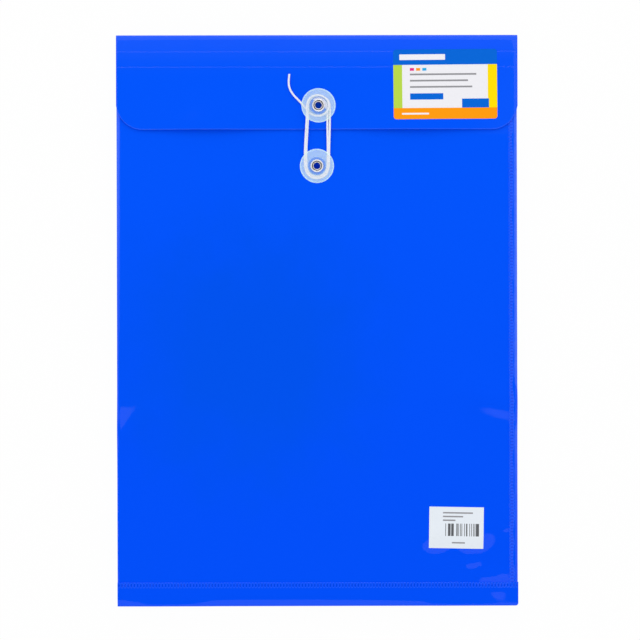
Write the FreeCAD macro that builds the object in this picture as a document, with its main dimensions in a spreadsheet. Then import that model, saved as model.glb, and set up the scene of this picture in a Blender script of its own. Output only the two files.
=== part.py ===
"""String tie envelope of folded plastic sheet, closed by a string wound round two buttons.

Millimetres. The envelope lies on its back: X runs to the right, Y up the page to the top fold
and Z out of the front. The origin is in the middle of the back face's outline, at z = 0.
"""

import FreeCAD, Part
import Sketcher
import math
import os
from FreeCAD import Vector

SIZES = {
    # the folded sheet
    "sheet_width": 254.0,
    "sheet_height": 362.0,
    "gauge": 0.3,
    "pocket_depth": 5.0,
    "edge_bend": 1.6,
    "side_inset": 0.3,
    "side_lap": 5.4,
    "bottom_lap": 15.3,
    "mouth_drop": 12.0,
    # the flap, measured down the front from the top fold
    "flap_length": 59.8,
    "flap_corner": 16.5,
    "flap_gap": 0.8,
    "first_crease_drop": 10.4,
    "crease_pitch": 9.75,
    # the two buttons, their places measured from the middle and from the top fold
    "button_diameter": 21.6,
    "button_thickness": 0.8,
    "button_edge": 0.25,
    "upper_spacer_diameter": 10.8,
    "lower_spacer_diameter": 11.7,
    "upper_button_x": 0.95,
    "upper_button_drop": 45.05,
    "lower_button_x": -0.1,
    "lower_button_drop": 83.0,
    # the eyelets that rivet them
    "eyelet_bore": 3.8,
    "eyelet_wall": 0.35,
    "eyelet_lip": 0.3,
    "flange_diameter": 8.0,
    "flange_height": 0.55,
    "clinch_diameter": 6.8,
    "clinch_height": 0.5,
    "spin_clearance": 0.1,
    "face_clearance": 0.05,
    # the string
    "string_diameter": 1.3,
    "string_gap": 0.6,
    "string_clearance": 0.15,
    "string_slack": 0.1,
    "anchor_leg": 5.3,
    # the two stickers, their middles measured in from the right edge
    "sticker_thickness": 0.1,
    "print_width": 65.7,
    "print_height": 43.6,
    "print_corner": 1.8,
    "print_inset": 45.75,
    "print_drop": 31.6,
    "print_tilt": 0.45,
    "barcode_width": 34.5,
    "barcode_height": 26.2,
    "barcode_inset": 39.2,
    "barcode_rise": 49.7,
    "barcode_tilt": -1.1,
}

document = FreeCAD.newDocument("string_tie_envelope")
sheet = document.addObject("Spreadsheet::Sheet", "Sizes")
for row, (alias, number) in enumerate(SIZES.items(), start=1):
    sheet.set(f"A{row}", alias)
    sheet.set(f"B{row}", str(number))
    sheet.setAlias(f"B{row}", alias)
document.recompute()


def size(expression):
    """The number that an expression in the sheet's aliases comes to."""
    found = sheet.evalExpression(expression)
    return float(getattr(found, "Value", found))


# Places that several pieces share, as expressions in the sheet's cells.
RIGHT = "(Sizes.sheet_width / 2)"
LEFT = "(-Sizes.sheet_width / 2)"
TOP = "(Sizes.sheet_height / 2)"
BOTTOM = "(-Sizes.sheet_height / 2)"
FRONT_BASE = "(Sizes.gauge + Sizes.pocket_depth)"
FRONT_TOP = f"({FRONT_BASE} + Sizes.gauge)"
LAP_TOP = f"({FRONT_TOP} + Sizes.gauge)"
FLAP_BASE = f"({FRONT_TOP} + Sizes.flap_gap)"
FLAP_TOP = f"({FLAP_BASE} + Sizes.gauge)"
FOLD_RADIUS = f"({FLAP_TOP} / 2)"
FOLD_START = f"({TOP} - {FOLD_RADIUS})"
FIRST_CREASE = f"({TOP} - Sizes.first_crease_drop)"
SECOND_CREASE = f"({FIRST_CREASE} - Sizes.crease_pitch)"
FLAP_EDGE = f"({TOP} - Sizes.flap_length)"
MOUTH = f"({TOP} - Sizes.mouth_drop)"
POCKET_RIGHT = f"({RIGHT} - Sizes.side_inset)"
INNER_LEFT = f"({LEFT} + Sizes.edge_bend)"
INNER_RIGHT = f"({POCKET_RIGHT} - Sizes.edge_bend)"
INNER_BOTTOM = f"({BOTTOM} + Sizes.edge_bend)"
BOTTOM_LAP_EDGE = f"({BOTTOM} + Sizes.bottom_lap)"
RIGHT_LAP_EDGE = f"({POCKET_RIGHT} - Sizes.side_lap)"
UPPER_X = "Sizes.upper_button_x"
UPPER_Y = f"({TOP} - Sizes.upper_button_drop)"
LOWER_X = "Sizes.lower_button_x"
LOWER_Y = f"({TOP} - Sizes.lower_button_drop)"
BARREL = "(Sizes.eyelet_bore + 2 * Sizes.eyelet_wall)"
LOWER_SPACER = "(Sizes.string_diameter + 2 * Sizes.string_clearance)"
UPPER_SPACER = f"({LOWER_SPACER} + Sizes.string_diameter + Sizes.string_gap)"
ANCHOR_RECESS = LOWER_SPACER


def new_body(name):
    """An empty body whose label names its file."""
    body = document.addObject("PartDesign::Body", name)
    body.Label = name
    return body


def new_sketch(body, role, name):
    """A sketch on one of the body's own origin planes."""
    plane = next(item for item in body.Origin.OriginFeatures if item.Role == role)
    sketch = body.newObject("Sketcher::SketchObject", f"{body.Name}_{name}")
    sketch.AttachmentSupport = (plane, [""])
    sketch.MapMode = "FlatFace"
    return sketch


def bind(sketch, constraint, name, expression):
    """Adds a constraint and binds its value to the sheet."""
    index = sketch.addConstraint(constraint)
    sketch.renameConstraint(index, name)
    sketch.setExpression(f".Constraints.{name}", expression)


def arc_between(start, end, radius, left):
    """The arc from start to end whose centre is on the left or the right of that chord."""
    chord = end - start
    side = Vector(-chord.y, chord.x, 0).normalize() * (1 if left else -1)
    height = math.sqrt(max(radius**2 - (chord.Length / 2) ** 2, 0.0))
    centre = (start + end) * 0.5 + side * height
    first, last = (start, end) if left else (end, start)
    angles = [math.atan2(point.y - centre.y, point.x - centre.x) for point in (first, last)]
    circle = Part.Circle(centre, Vector(0, 0, 1), radius)
    return Part.ArcOfCircle(circle, angles[0], angles[1])


def draw_outline(sketch, corners, arcs=None):
    """A closed outline through corners given as pairs of expressions.

    arcs maps the number of a side to its radius and whether its centre is on the left.
    """
    arcs = arcs or {}
    points = [Vector(size(x), size(y), 0) for x, y in corners]
    first_side = sketch.GeometryCount
    ends = []
    for number, start in enumerate(points):
        end = points[(number + 1) % len(points)]
        if number in arcs:
            radius, left = arcs[number]
            sketch.addGeometry(arc_between(start, end, size(radius), left), False)
            ends.append((1, 2) if left else (2, 1))
        else:
            sketch.addGeometry(Part.LineSegment(start, end), False)
            ends.append((1, 2))
    for number, (x, y) in enumerate(corners):
        after = (number + 1) % len(corners)
        side, next_side = first_side + number, first_side + after
        meet = Sketcher.Constraint("Coincident", side, ends[number][1], next_side, ends[after][0])
        sketch.addConstraint(meet)
        place = (-1, 1, side, ends[number][0])
        along_x = Sketcher.Constraint("DistanceX", *place, points[number].x)
        along_y = Sketcher.Constraint("DistanceY", *place, points[number].y)
        bind(sketch, along_x, f"corner_{number}_x", x)
        bind(sketch, along_y, f"corner_{number}_y", y)
    for number, (radius, _) in arcs.items():
        round_side = Sketcher.Constraint("Radius", first_side + number, size(radius))
        bind(sketch, round_side, f"side_{number}_radius", radius)


def draw_circle(sketch, name, diameter, x="0", y="0"):
    """A circle of that diameter with its centre at x, y."""
    centre = Vector(size(x), size(y), 0)
    circle = Part.Circle(centre, Vector(0, 0, 1), size(diameter) / 2)
    number = sketch.addGeometry(circle, False)
    along_x = Sketcher.Constraint("DistanceX", -1, 1, number, 3, centre.x)
    along_y = Sketcher.Constraint("DistanceY", -1, 1, number, 3, centre.y)
    across = Sketcher.Constraint("Diameter", number, size(diameter))
    bind(sketch, along_x, f"{name}_x", x)
    bind(sketch, along_y, f"{name}_y", y)
    bind(sketch, across, f"{name}_diameter", diameter)


def pad(body, sketch, length):
    """Pads a sketch along its normal."""
    feature = body.newObject("PartDesign::Pad", f"{body.Name}_pad")
    feature.Profile = sketch
    feature.setExpression("Length", length)
    return feature


def pocket_up(body, sketch, depth, name):
    """Cuts a sketch upwards into a body that stands on its XY plane."""
    feature = body.newObject("PartDesign::Pocket", f"{body.Name}_{name}")
    feature.Profile = sketch
    feature.setExpression("Length", depth)
    feature.Reversed = True
    return feature


def place(body, **where):
    """Binds a body's place, and its turn about Z, to the sheet."""
    for axis in "xyz":
        if axis in where:
            body.setExpression(f"Placement.Base.{axis}", where[axis])
    if "turn" in where:
        body.setExpression("Placement.Rotation.Angle", where["turn"])


def rectangle(left, bottom, right, top):
    """The corners of a rectangle."""
    return [(left, bottom), (right, bottom), (right, top), (left, top)]


# The pocket: one sheet, folded at the left, the right and the bottom.


def build_back_panel():
    """The back of the pocket, as wide as the flap above the pocket's mouth."""
    body = new_body("back_panel")
    sketch = new_sketch(body, "XY_Plane", "outline")
    corners = [
        (INNER_LEFT, INNER_BOTTOM),
        (INNER_RIGHT, INNER_BOTTOM),
        (INNER_RIGHT, MOUTH),
        (RIGHT, MOUTH),
        (RIGHT, FOLD_START),
        (LEFT, FOLD_START),
        (LEFT, MOUTH),
        (INNER_LEFT, MOUTH),
    ]
    draw_outline(sketch, corners)
    pad(body, sketch, "Sizes.gauge")
    return body


def build_front_panel():
    """The front of the pocket, with the lower eyelet's hole."""
    body = new_body("front_panel")
    sketch = new_sketch(body, "XY_Plane", "outline")
    draw_outline(sketch, rectangle(INNER_LEFT, INNER_BOTTOM, INNER_RIGHT, MOUTH))
    draw_circle(sketch, "eyelet_hole", BARREL, LOWER_X, LOWER_Y)
    pad(body, sketch, "Sizes.gauge")
    place(body, z=FRONT_BASE)
    return body


def fold_outline(inner, outer, inwards, height):
    """The section of a sheet that rises from the back, round two bends, to a height.

    inner is where the bends start, outer the outside of the fold and inwards the sign of the
    step from outer to inner.
    """
    wall = f"({outer} {inwards} Sizes.gauge)"
    bend = "Sizes.edge_bend"
    inner_bend = f"({bend} - Sizes.gauge)"
    top_bend = f"({height} - {bend})"
    corners = [
        (inner, "0"),
        (outer, bend),
        (outer, top_bend),
        (inner, height),
        (inner, f"({height} - Sizes.gauge)"),
        (wall, top_bend),
        (wall, bend),
        (inner, "Sizes.gauge"),
    ]
    left = inwards == "-"
    arcs = {0: (bend, left), 2: (bend, left), 4: (inner_bend, not left), 6: (inner_bend, not left)}
    return corners, arcs


def build_side_fold(name, inner, outer, inwards, height):
    """A rounded side edge, from the bottom fold up to the mouth."""
    body = new_body(name)
    sketch = new_sketch(body, "XZ_Plane", "section")
    draw_outline(sketch, *fold_outline(inner, outer, inwards, height))
    pad(body, sketch, f"({MOUTH} - {INNER_BOTTOM})")
    place(body, y=MOUTH)
    return body


def build_right_fold():
    """The right edge, as high as the lap that it carries, and cut down under the bottom lap."""
    body = build_side_fold("right_fold", INNER_RIGHT, POCKET_RIGHT, "-", LAP_TOP)
    window = new_sketch(body, "YZ_Plane", "covered")
    low, high = f"({INNER_BOTTOM} - {MOUTH} - 1)", f"({BOTTOM_LAP_EDGE} - {MOUTH})"
    draw_outline(window, rectangle(low, FRONT_TOP, high, f"({LAP_TOP} + 1)"))
    cut = body.newObject("PartDesign::Pocket", "right_fold_cut")
    cut.Profile = window
    cut.Type = "ThroughAll"
    cut.Reversed = True
    return body


def build_bottom_fold():
    """The rounded bottom edge, the whole width of the sheet."""
    body = new_body("bottom_fold")
    sketch = new_sketch(body, "YZ_Plane", "section")
    draw_outline(sketch, *fold_outline(INNER_BOTTOM, BOTTOM, "+", LAP_TOP))
    pad(body, sketch, "Sizes.sheet_width")
    place(body, x=LEFT)
    return body


def build_lap(name, left, bottom, right, top):
    """A flat strip of the back sheet that is turned over the front and welded to it."""
    body = new_body(name)
    sketch = new_sketch(body, "XY_Plane", "outline")
    draw_outline(sketch, rectangle(left, bottom, right, top))
    pad(body, sketch, "Sizes.gauge")
    place(body, z=FRONT_TOP)
    return body


# The flap: the same sheet, turned over the mouth and scored twice.


def build_top_fold():
    """The half round over the mouth that bends open with the flap."""
    body = new_body("top_fold")
    sketch = new_sketch(body, "YZ_Plane", "section")
    inner_radius = f"({FOLD_RADIUS} - Sizes.gauge)"
    corners = [
        (FOLD_START, "0"),
        (TOP, FOLD_RADIUS),
        (FOLD_START, FLAP_TOP),
        (FOLD_START, FLAP_BASE),
        (f"({TOP} - Sizes.gauge)", FOLD_RADIUS),
        (FOLD_START, "Sizes.gauge"),
    ]
    arcs = {0: (FOLD_RADIUS, True), 1: (FOLD_RADIUS, True)}
    arcs[3] = (inner_radius, False)
    arcs[4] = (inner_radius, False)
    draw_outline(sketch, corners, arcs)
    pad(body, sketch, "Sizes.sheet_width")
    place(body, x=LEFT)
    return body


def build_flap_strip(name, low, high):
    """A full-width strip of the flap between two creases."""
    body = new_body(name)
    sketch = new_sketch(body, "XY_Plane", "outline")
    draw_outline(sketch, rectangle(LEFT, low, RIGHT, high))
    pad(body, sketch, "Sizes.gauge")
    place(body, z=FLAP_BASE)
    return body


def build_flap_panel():
    """The free part of the flap, round at both corners, with the upper eyelet's hole."""
    body = new_body("flap_panel")
    sketch = new_sketch(body, "XY_Plane", "outline")
    corner_y = f"({FLAP_EDGE} + Sizes.flap_corner)"
    corners = [
        (LEFT, SECOND_CREASE),
        (LEFT, corner_y),
        (f"({LEFT} + Sizes.flap_corner)", FLAP_EDGE),
        (f"({RIGHT} - Sizes.flap_corner)", FLAP_EDGE),
        (RIGHT, corner_y),
        (RIGHT, SECOND_CREASE),
    ]
    arcs = {1: ("Sizes.flap_corner", True), 3: ("Sizes.flap_corner", True)}
    draw_outline(sketch, corners, arcs)
    draw_circle(sketch, "eyelet_hole", BARREL, UPPER_X, UPPER_Y)
    pad(body, sketch, "Sizes.gauge")
    place(body, z=FLAP_BASE)
    return body


# The buttons: a disc that turns over a spacer, riveted through the sheet by an eyelet.


def build_button(name, x, y, spacer_top):
    """A flat disc with softened edges that turns on its eyelet."""
    body = new_body(name)
    sketch = new_sketch(body, "XY_Plane", "outline")
    draw_circle(sketch, "rim", "Sizes.button_diameter")
    draw_circle(sketch, "bore", f"({BARREL} + 2 * Sizes.spin_clearance)")
    disc = pad(body, sketch, "Sizes.button_thickness")
    document.recompute()
    rim = [
        f"Edge{number}"
        for number, edge in enumerate(disc.Shape.Edges, start=1)
        if len(edge.Vertexes) == 1 and edge.Curve.Radius > size(BARREL)
    ]
    softened = body.newObject("PartDesign::Fillet", f"{name}_edge")
    softened.Base = (disc, rim)
    softened.setExpression("Radius", "Sizes.button_edge")
    place(body, x=x, y=y, z=f"({spacer_top} + Sizes.face_clearance)")
    return body


def build_spacer(name, x, y, base, height, diameter):
    """The washer that holds a button off the sheet, so that the string goes under it."""
    body = new_body(name)
    sketch = new_sketch(body, "XY_Plane", "outline")
    draw_circle(sketch, "rim", diameter)
    draw_circle(sketch, "bore", BARREL)
    pad(body, sketch, height)
    place(body, x=x, y=y, z=base)
    return body


def build_upper_spacer():
    """The upper washer, relieved below for the string's end loop and where it comes out."""
    diameter = "Sizes.upper_spacer_diameter"
    body = build_spacer("upper_spacer", UPPER_X, UPPER_Y, FLAP_TOP, UPPER_SPACER, diameter)
    recess = new_sketch(body, "XY_Plane", "recess_outline")
    loop = f"({BARREL} + 2 * (Sizes.string_diameter + 2 * Sizes.string_clearance))"
    draw_circle(recess, "loop", loop)
    pocket_up(body, recess, ANCHOR_RECESS, "recess")
    way_out = new_sketch(body, "XY_Plane", "way_out_outline")
    half_spacer = f"({diameter} / 2)"
    corners = rectangle("0", f"(-{half_spacer} - 1)", f"({half_spacer} + 1)", f"({loop} / 2)")
    draw_outline(way_out, corners)
    pocket_up(body, way_out, ANCHOR_RECESS, "way_out")
    return body


def build_eyelet(name, x, y, sheet_base, spacer_top):
    """A rolled metal rivet: barrel, flange over the button and clinch behind the sheet."""
    body = new_body(name)
    sketch = new_sketch(body, "XZ_Plane", "section")
    bore, barrel = "(Sizes.eyelet_bore / 2)", f"({BARREL} / 2)"
    lip = "Sizes.eyelet_lip"
    flange, clinch = "(Sizes.flange_diameter / 2)", "(Sizes.clinch_diameter / 2)"
    flange_base = f"({spacer_top} + Sizes.button_thickness + 2 * Sizes.face_clearance)"
    flange_top = f"({flange_base} + Sizes.flange_height)"
    clinch_base = f"({sheet_base} - Sizes.clinch_height)"
    corners = [
        (bore, f"({clinch_base} + {lip})"),
        (f"({bore} + {lip})", clinch_base),
        (f"({clinch} - Sizes.clinch_height)", clinch_base),
        (clinch, sheet_base),
        (barrel, sheet_base),
        (barrel, flange_base),
        (flange, flange_base),
        (f"({flange} - Sizes.flange_height)", flange_top),
        (f"({bore} + {lip})", flange_top),
        (bore, f"({flange_top} - {lip})"),
    ]
    arcs = {
        0: (lip, False),
        2: ("Sizes.clinch_height", True),
        6: ("Sizes.flange_height", True),
        8: (lip, False),
    }
    draw_outline(sketch, corners, arcs)
    turned = body.newObject("PartDesign::Revolution", f"{name}_turned")
    turned.Profile = sketch
    turned.ReferenceAxis = (sketch, ["V_Axis"])
    turned.Angle = 360
    place(body, x=x, y=y)
    return body


# The stickers.


def build_print_label():
    """The round-cornered sticker on the flap."""
    body = new_body("print_label")
    sketch = new_sketch(body, "XY_Plane", "outline")
    side, end = "(Sizes.print_width / 2)", "(Sizes.print_height / 2)"
    short_side, short_end = f"({side} - Sizes.print_corner)", f"({end} - Sizes.print_corner)"
    corners = [
        (f"-{short_side}", f"-{end}"),
        (short_side, f"-{end}"),
        (side, f"-{short_end}"),
        (side, short_end),
        (short_side, end),
        (f"-{short_side}", end),
        (f"-{side}", short_end),
        (f"-{side}", f"-{short_end}"),
    ]
    round_corners = (1, 3, 5, 7)
    draw_outline(sketch, corners, {number: ("Sizes.print_corner", True) for number in round_corners})
    pad(body, sketch, "Sizes.sticker_thickness")
    y = f"({TOP} - Sizes.print_drop)"
    x = f"({RIGHT} - Sizes.print_inset)"
    place(body, x=x, y=y, z=FLAP_TOP, turn="Sizes.print_tilt")
    return body


def build_barcode_label():
    """The square-cornered sticker low on the front."""
    body = new_body("barcode_label")
    sketch = new_sketch(body, "XY_Plane", "outline")
    side, end = "(Sizes.barcode_width / 2)", "(Sizes.barcode_height / 2)"
    draw_outline(sketch, rectangle(f"-{side}", f"-{end}", side, end))
    pad(body, sketch, "Sizes.sticker_thickness")
    y = f"({BOTTOM} + Sizes.barcode_rise)"
    x = f"({RIGHT} - Sizes.barcode_inset)"
    place(body, x=x, y=y, z=FRONT_TOP, turn="Sizes.barcode_tilt")
    return body


# The string: anchored round the upper eyelet, wound twice round both spacers, its end free.

STEP = math.radians(45)

# How the end loop goes out to the right, in shares of its leg's distance and of its radius.
LOOP_EXIT = ((0.6, 1.0), (0.94, 0.54), (1.01, -0.5), (1.0, -2.4))

# Where the string comes off the upper spacer and how its free tail lies, from that button's axis.
COMING_OFF = ((-5.4, -4.95), (-8.2, -1.25))
FREE_TAIL = ((-12.0, 3.1), (-16.3, 7.3), (-18.6, 11.7), (-18.95, 15.8), (-18.4, 20.0))


def corner(centre, radius, degrees, height):
    """A corner of the eight-sided figure round a circle of that radius, at an angle."""
    reach = radius / math.cos(STEP / 2)
    angle = math.radians(degrees)
    return Vector(centre.x + reach * math.cos(angle), centre.y + reach * math.sin(angle), height)


def string_route():
    """The corners of the string's route, and the number of those before its free tail."""
    diameter = size("Sizes.string_diameter")
    clearance = size("Sizes.string_clearance")
    slack = size("Sizes.string_slack")
    beside = diameter / 2 + clearance / 2
    spacing = diameter + size("Sizes.string_gap")
    upper = Vector(size(UPPER_X), size(UPPER_Y), 0)
    lower = Vector(size(LOWER_X), size(LOWER_Y), 0)
    flap_edge = size(FLAP_EDGE)
    rim_y = lower.y + size("Sizes.button_diameter") / 2 - diameter / 2

    # heights: under the lower button, on the flap, and one strand higher
    under_button = size(FRONT_TOP) + clearance + diameter / 2
    lying = size(FLAP_TOP) + clearance + diameter / 2
    raised = lying + spacing
    settled = lying - clearance / 2

    # distances from the eyelets' axes
    anchor = size(BARREL) / 2 + beside
    inner = size("Sizes.lower_spacer_diameter") / 2 + beside
    outer = inner + spacing
    hug = size("Sizes.upper_spacer_diameter") / 2 + beside
    left = hug + clearance
    leg = size("Sizes.anchor_leg")
    right = max(hug, leg + spacing)

    # the end loop, round the upper eyelet's barrel and out to the right
    points = [Vector(upper.x + anchor, upper.y, lying)]
    for degrees in (-22.5, -67.5, -112.5, -157.5, -202.5, -247.5):
        points.append(corner(upper, anchor, degrees, lying))
    points += [upper + Vector(x * leg, y * anchor, lying) for x, y in LOOP_EXIT]
    points.append(Vector(upper.x + leg + slack, flap_edge, lying))

    # the first turn: round the lower spacer, up on the left and over the upper spacer
    points.append(Vector(lower.x + inner, rim_y, under_button))
    for degrees in (-22.5, -67.5, -112.5, -157.5):
        points.append(corner(lower, inner, degrees, under_button))
    points += [
        Vector(lower.x - inner, rim_y, under_button),
        Vector(upper.x - left - 3 * slack, flap_edge, lying + 2 * slack),
        Vector(upper.x - left, upper.y - hug, raised),
        corner(upper, left, 157.5, raised - 4 * slack),
        corner(upper, hug + slack, 112.5, lying + slack),
        corner(upper, hug + 2 * slack, 67.5, lying),
        corner(upper, right, 22.5, lying),
        Vector(upper.x + right, upper.y - right, lying),
        Vector(upper.x + right + slack, flap_edge, lying),
    ]

    # the second turn lies outside the first, then over it, and round below the spacer
    points.append(Vector(lower.x + outer, rim_y, under_button))
    for degrees in (-22.5, -67.5, -112.5, -157.5):
        points.append(corner(lower, outer, degrees, under_button))
    left += spacing
    points += [
        Vector(lower.x - outer, rim_y, under_button),
        Vector(upper.x - left - 3 * slack, flap_edge, lying + 2 * slack),
        Vector(upper.x - left, upper.y - hug, raised),
        corner(upper, left, 157.5, raised),
        corner(upper, (left + hug) / 2, 112.5, raised),
        corner(upper, hug + 2 * slack, 67.5, raised),
        corner(upper, right, 22.5, raised),
        corner(upper, right, -22.5, raised),
        corner(upper, right, -67.5, raised),
        upper + Vector(-anchor / 2 - diameter / 2, -right, (lying + 2 * raised) / 3),
    ]
    off, on_flap = COMING_OFF
    points.append(upper + Vector(*off, lying))
    points.append(upper + Vector(*on_flap, settled))
    before_tail = len(points)
    points += [upper + Vector(x, y, settled) for x, y in FREE_TAIL]
    return points, before_tail


def rounded_path(points):
    """Straight runs joined by tangent arcs, each 0.45 of the shorter run back from its point."""
    edges, radii = [], []
    here = points[0]
    for before, point, after in zip(points, points[1:], points[2:]):
        into, out = point - before, after - point
        half_turn = into.getAngle(out) / 2
        back = 0.45 * min(into.Length, out.Length)
        into.normalize()
        out.normalize()
        start, end = point - into * back, point + out * back
        dip = back * math.tan(half_turn / 2)
        middle = point + (out - into).normalize() * dip
        edges.append(Part.LineSegment(here, start).toShape())
        edges.append(Part.Arc(start, middle, end).toShape())
        radii.append(back / math.tan(half_turn))
        here = end
    edges.append(Part.LineSegment(here, points[-1]).toShape())
    return edges, radii


def tube(edges, diameter):
    """A round tube along tangent edges."""
    path = Part.Wire(edges)
    start = edges[0].valueAt(edges[0].FirstParameter)
    along = edges[0].tangentAt(edges[0].FirstParameter)
    ring = Part.Wire([Part.makeCircle(diameter / 2, start, along)])
    shell = Part.BRepOffsetAPI.MakePipeShell(path)
    shell.add(ring)
    shell.build()
    shell.makeSolid()
    return shell.shape()


def least_gap(edges, diameter):
    """The least gap between the string and itself, past the stretch next to each point."""
    spacing, near = 0.25, 4 * diameter
    marks = Part.Wire(edges).discretize(Distance=spacing)
    skip = round(near / spacing)
    pairs = ((a, b) for i, a in enumerate(marks) for b in marks[i + skip :])
    return min(a.distanceToPoint(b) for a, b in pairs) - diameter


def build_string():
    """The winding and its free tail, which meet face to face, as two solids."""
    diameter = size("Sizes.string_diameter")
    points, before_tail = string_route()
    meeting = (points[before_tail - 1] + points[before_tail]) * 0.5
    routes = {
        "string_winding": points[:before_tail] + [meeting],
        "string_tail": [meeting] + points[before_tail:],
    }
    gap = least_gap(rounded_path(points)[0], diameter)
    print(f"string: least gap to itself {gap:.2f} mm")
    pieces = []
    for name, route in routes.items():
        edges, radii = rounded_path(route)
        length = sum(edge.Length for edge in edges)
        feature = document.addObject("Part::Feature", name)
        feature.Label = name
        feature.Shape = tube(edges, diameter)
        feature.Placement = FreeCAD.Placement()
        swept = math.pi * diameter**2 / 4 * length
        print(f"{name}: length {length:.1f} mm, volume {feature.Shape.Volume:.1f} mm3,")
        print(f"  section times length {swept:.1f} mm3, radii {[round(r, 1) for r in radii]}")
        pieces.append(feature)
    return pieces


def check(pieces):
    """Stops if an object failed or a piece has no sound solid."""
    for item in document.Objects:
        if "Invalid" in item.State or "Error" in item.State:
            raise RuntimeError(f"{item.Name} failed: {item.State}")
    for piece in pieces:
        if piece.Shape.isNull() or not piece.Shape.isValid() or not piece.Shape.Solids:
            raise RuntimeError(f"{piece.Label} has no valid solid")


def main():
    """Builds every piece and writes each to its own file."""
    lower_spacer_top = f"({FRONT_TOP} + {LOWER_SPACER})"
    upper_spacer_top = f"({FLAP_TOP} + {UPPER_SPACER})"
    pieces = [
        build_back_panel(),
        build_front_panel(),
        build_side_fold("left_fold", INNER_LEFT, LEFT, "+", FRONT_TOP),
        build_right_fold(),
        build_bottom_fold(),
        build_lap("right_lap", RIGHT_LAP_EDGE, BOTTOM_LAP_EDGE, INNER_RIGHT, MOUTH),
        build_lap("bottom_lap", LEFT, INNER_BOTTOM, RIGHT, BOTTOM_LAP_EDGE),
        build_top_fold(),
        build_flap_strip("flap_strip_1", FIRST_CREASE, FOLD_START),
        build_flap_strip("flap_strip_2", SECOND_CREASE, FIRST_CREASE),
        build_flap_panel(),
        build_spacer(
            "lower_spacer", LOWER_X, LOWER_Y, FRONT_TOP, LOWER_SPACER, "Sizes.lower_spacer_diameter"
        ),
        build_button("lower_button", LOWER_X, LOWER_Y, lower_spacer_top),
        build_eyelet("lower_eyelet", LOWER_X, LOWER_Y, FRONT_BASE, lower_spacer_top),
        build_upper_spacer(),
        build_button("upper_button", UPPER_X, UPPER_Y, upper_spacer_top),
        build_eyelet("upper_eyelet", UPPER_X, UPPER_Y, FLAP_BASE, upper_spacer_top),
        build_print_label(),
        build_barcode_label(),
    ]
    pieces += build_string()
    document.recompute()
    check(pieces)
    os.makedirs("parts", exist_ok=True)
    for piece in pieces:
        piece.Shape.exportStep(f"parts/{piece.Label}.step")
        box = piece.Shape.BoundBox
        print(f"{piece.Label}: {piece.Shape.Volume:.1f} mm3, z {box.ZMin:.2f} to {box.ZMax:.2f}")


main()
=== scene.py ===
"""String tie envelope of glossy blue plastic sheet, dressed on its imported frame.

Sizes in the classes are millimetres, in the frame's axes: X to the right, Y up the page to the
top fold and Z out of the front. Meshes, curves and the camera are written in metres.
"""

import logging
import math
from collections.abc import Callable, Sequence
from dataclasses import dataclass, field
from enum import Enum
from typing import Any

import bpy
import numpy as np
from numpy.typing import NDArray
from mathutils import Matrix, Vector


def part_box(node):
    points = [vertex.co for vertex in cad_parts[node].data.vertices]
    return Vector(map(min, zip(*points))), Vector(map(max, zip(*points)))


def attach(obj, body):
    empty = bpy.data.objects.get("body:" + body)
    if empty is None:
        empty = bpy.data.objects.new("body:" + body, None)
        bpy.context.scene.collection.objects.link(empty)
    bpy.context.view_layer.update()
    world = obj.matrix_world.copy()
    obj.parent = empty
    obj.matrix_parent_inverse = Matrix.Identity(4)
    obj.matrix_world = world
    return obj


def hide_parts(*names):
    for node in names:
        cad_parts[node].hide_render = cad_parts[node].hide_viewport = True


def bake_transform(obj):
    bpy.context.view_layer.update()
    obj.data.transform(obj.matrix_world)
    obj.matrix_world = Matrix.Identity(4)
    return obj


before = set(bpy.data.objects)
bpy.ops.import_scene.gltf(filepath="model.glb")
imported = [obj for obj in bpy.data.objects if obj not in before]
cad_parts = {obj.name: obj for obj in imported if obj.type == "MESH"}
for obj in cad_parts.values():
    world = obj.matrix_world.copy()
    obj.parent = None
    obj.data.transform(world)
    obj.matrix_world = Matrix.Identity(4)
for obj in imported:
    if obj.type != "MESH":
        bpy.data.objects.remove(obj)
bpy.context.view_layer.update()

Array = NDArray[np.float64]
Faces = NDArray[np.int64]
Colour = tuple[float, float, float]
Span = tuple[float, float]

MM = 0.001
SHARP_ANGLE = math.radians(40)
PLASTIC_IOR = 1.49
WHITE = (1.0, 1.0, 1.0)
BLACK = (0.0, 0.0, 0.0)
log = logging.getLogger("envelope")


def node_box(name: str) -> tuple[Array, Array]:
    """The lowest and highest corner of a CAD node at rest, in millimetres."""
    low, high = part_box(name)
    return np.array(low) / MM, np.array(high) / MM


def linked(name: str, data: bpy.types.ID) -> bpy.types.Object:
    """A new object of this data at the origin, linked into the scene."""
    made = bpy.data.objects.new(name, data)
    bpy.context.scene.collection.objects.link(made)
    return made


# Shader graphs


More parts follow.
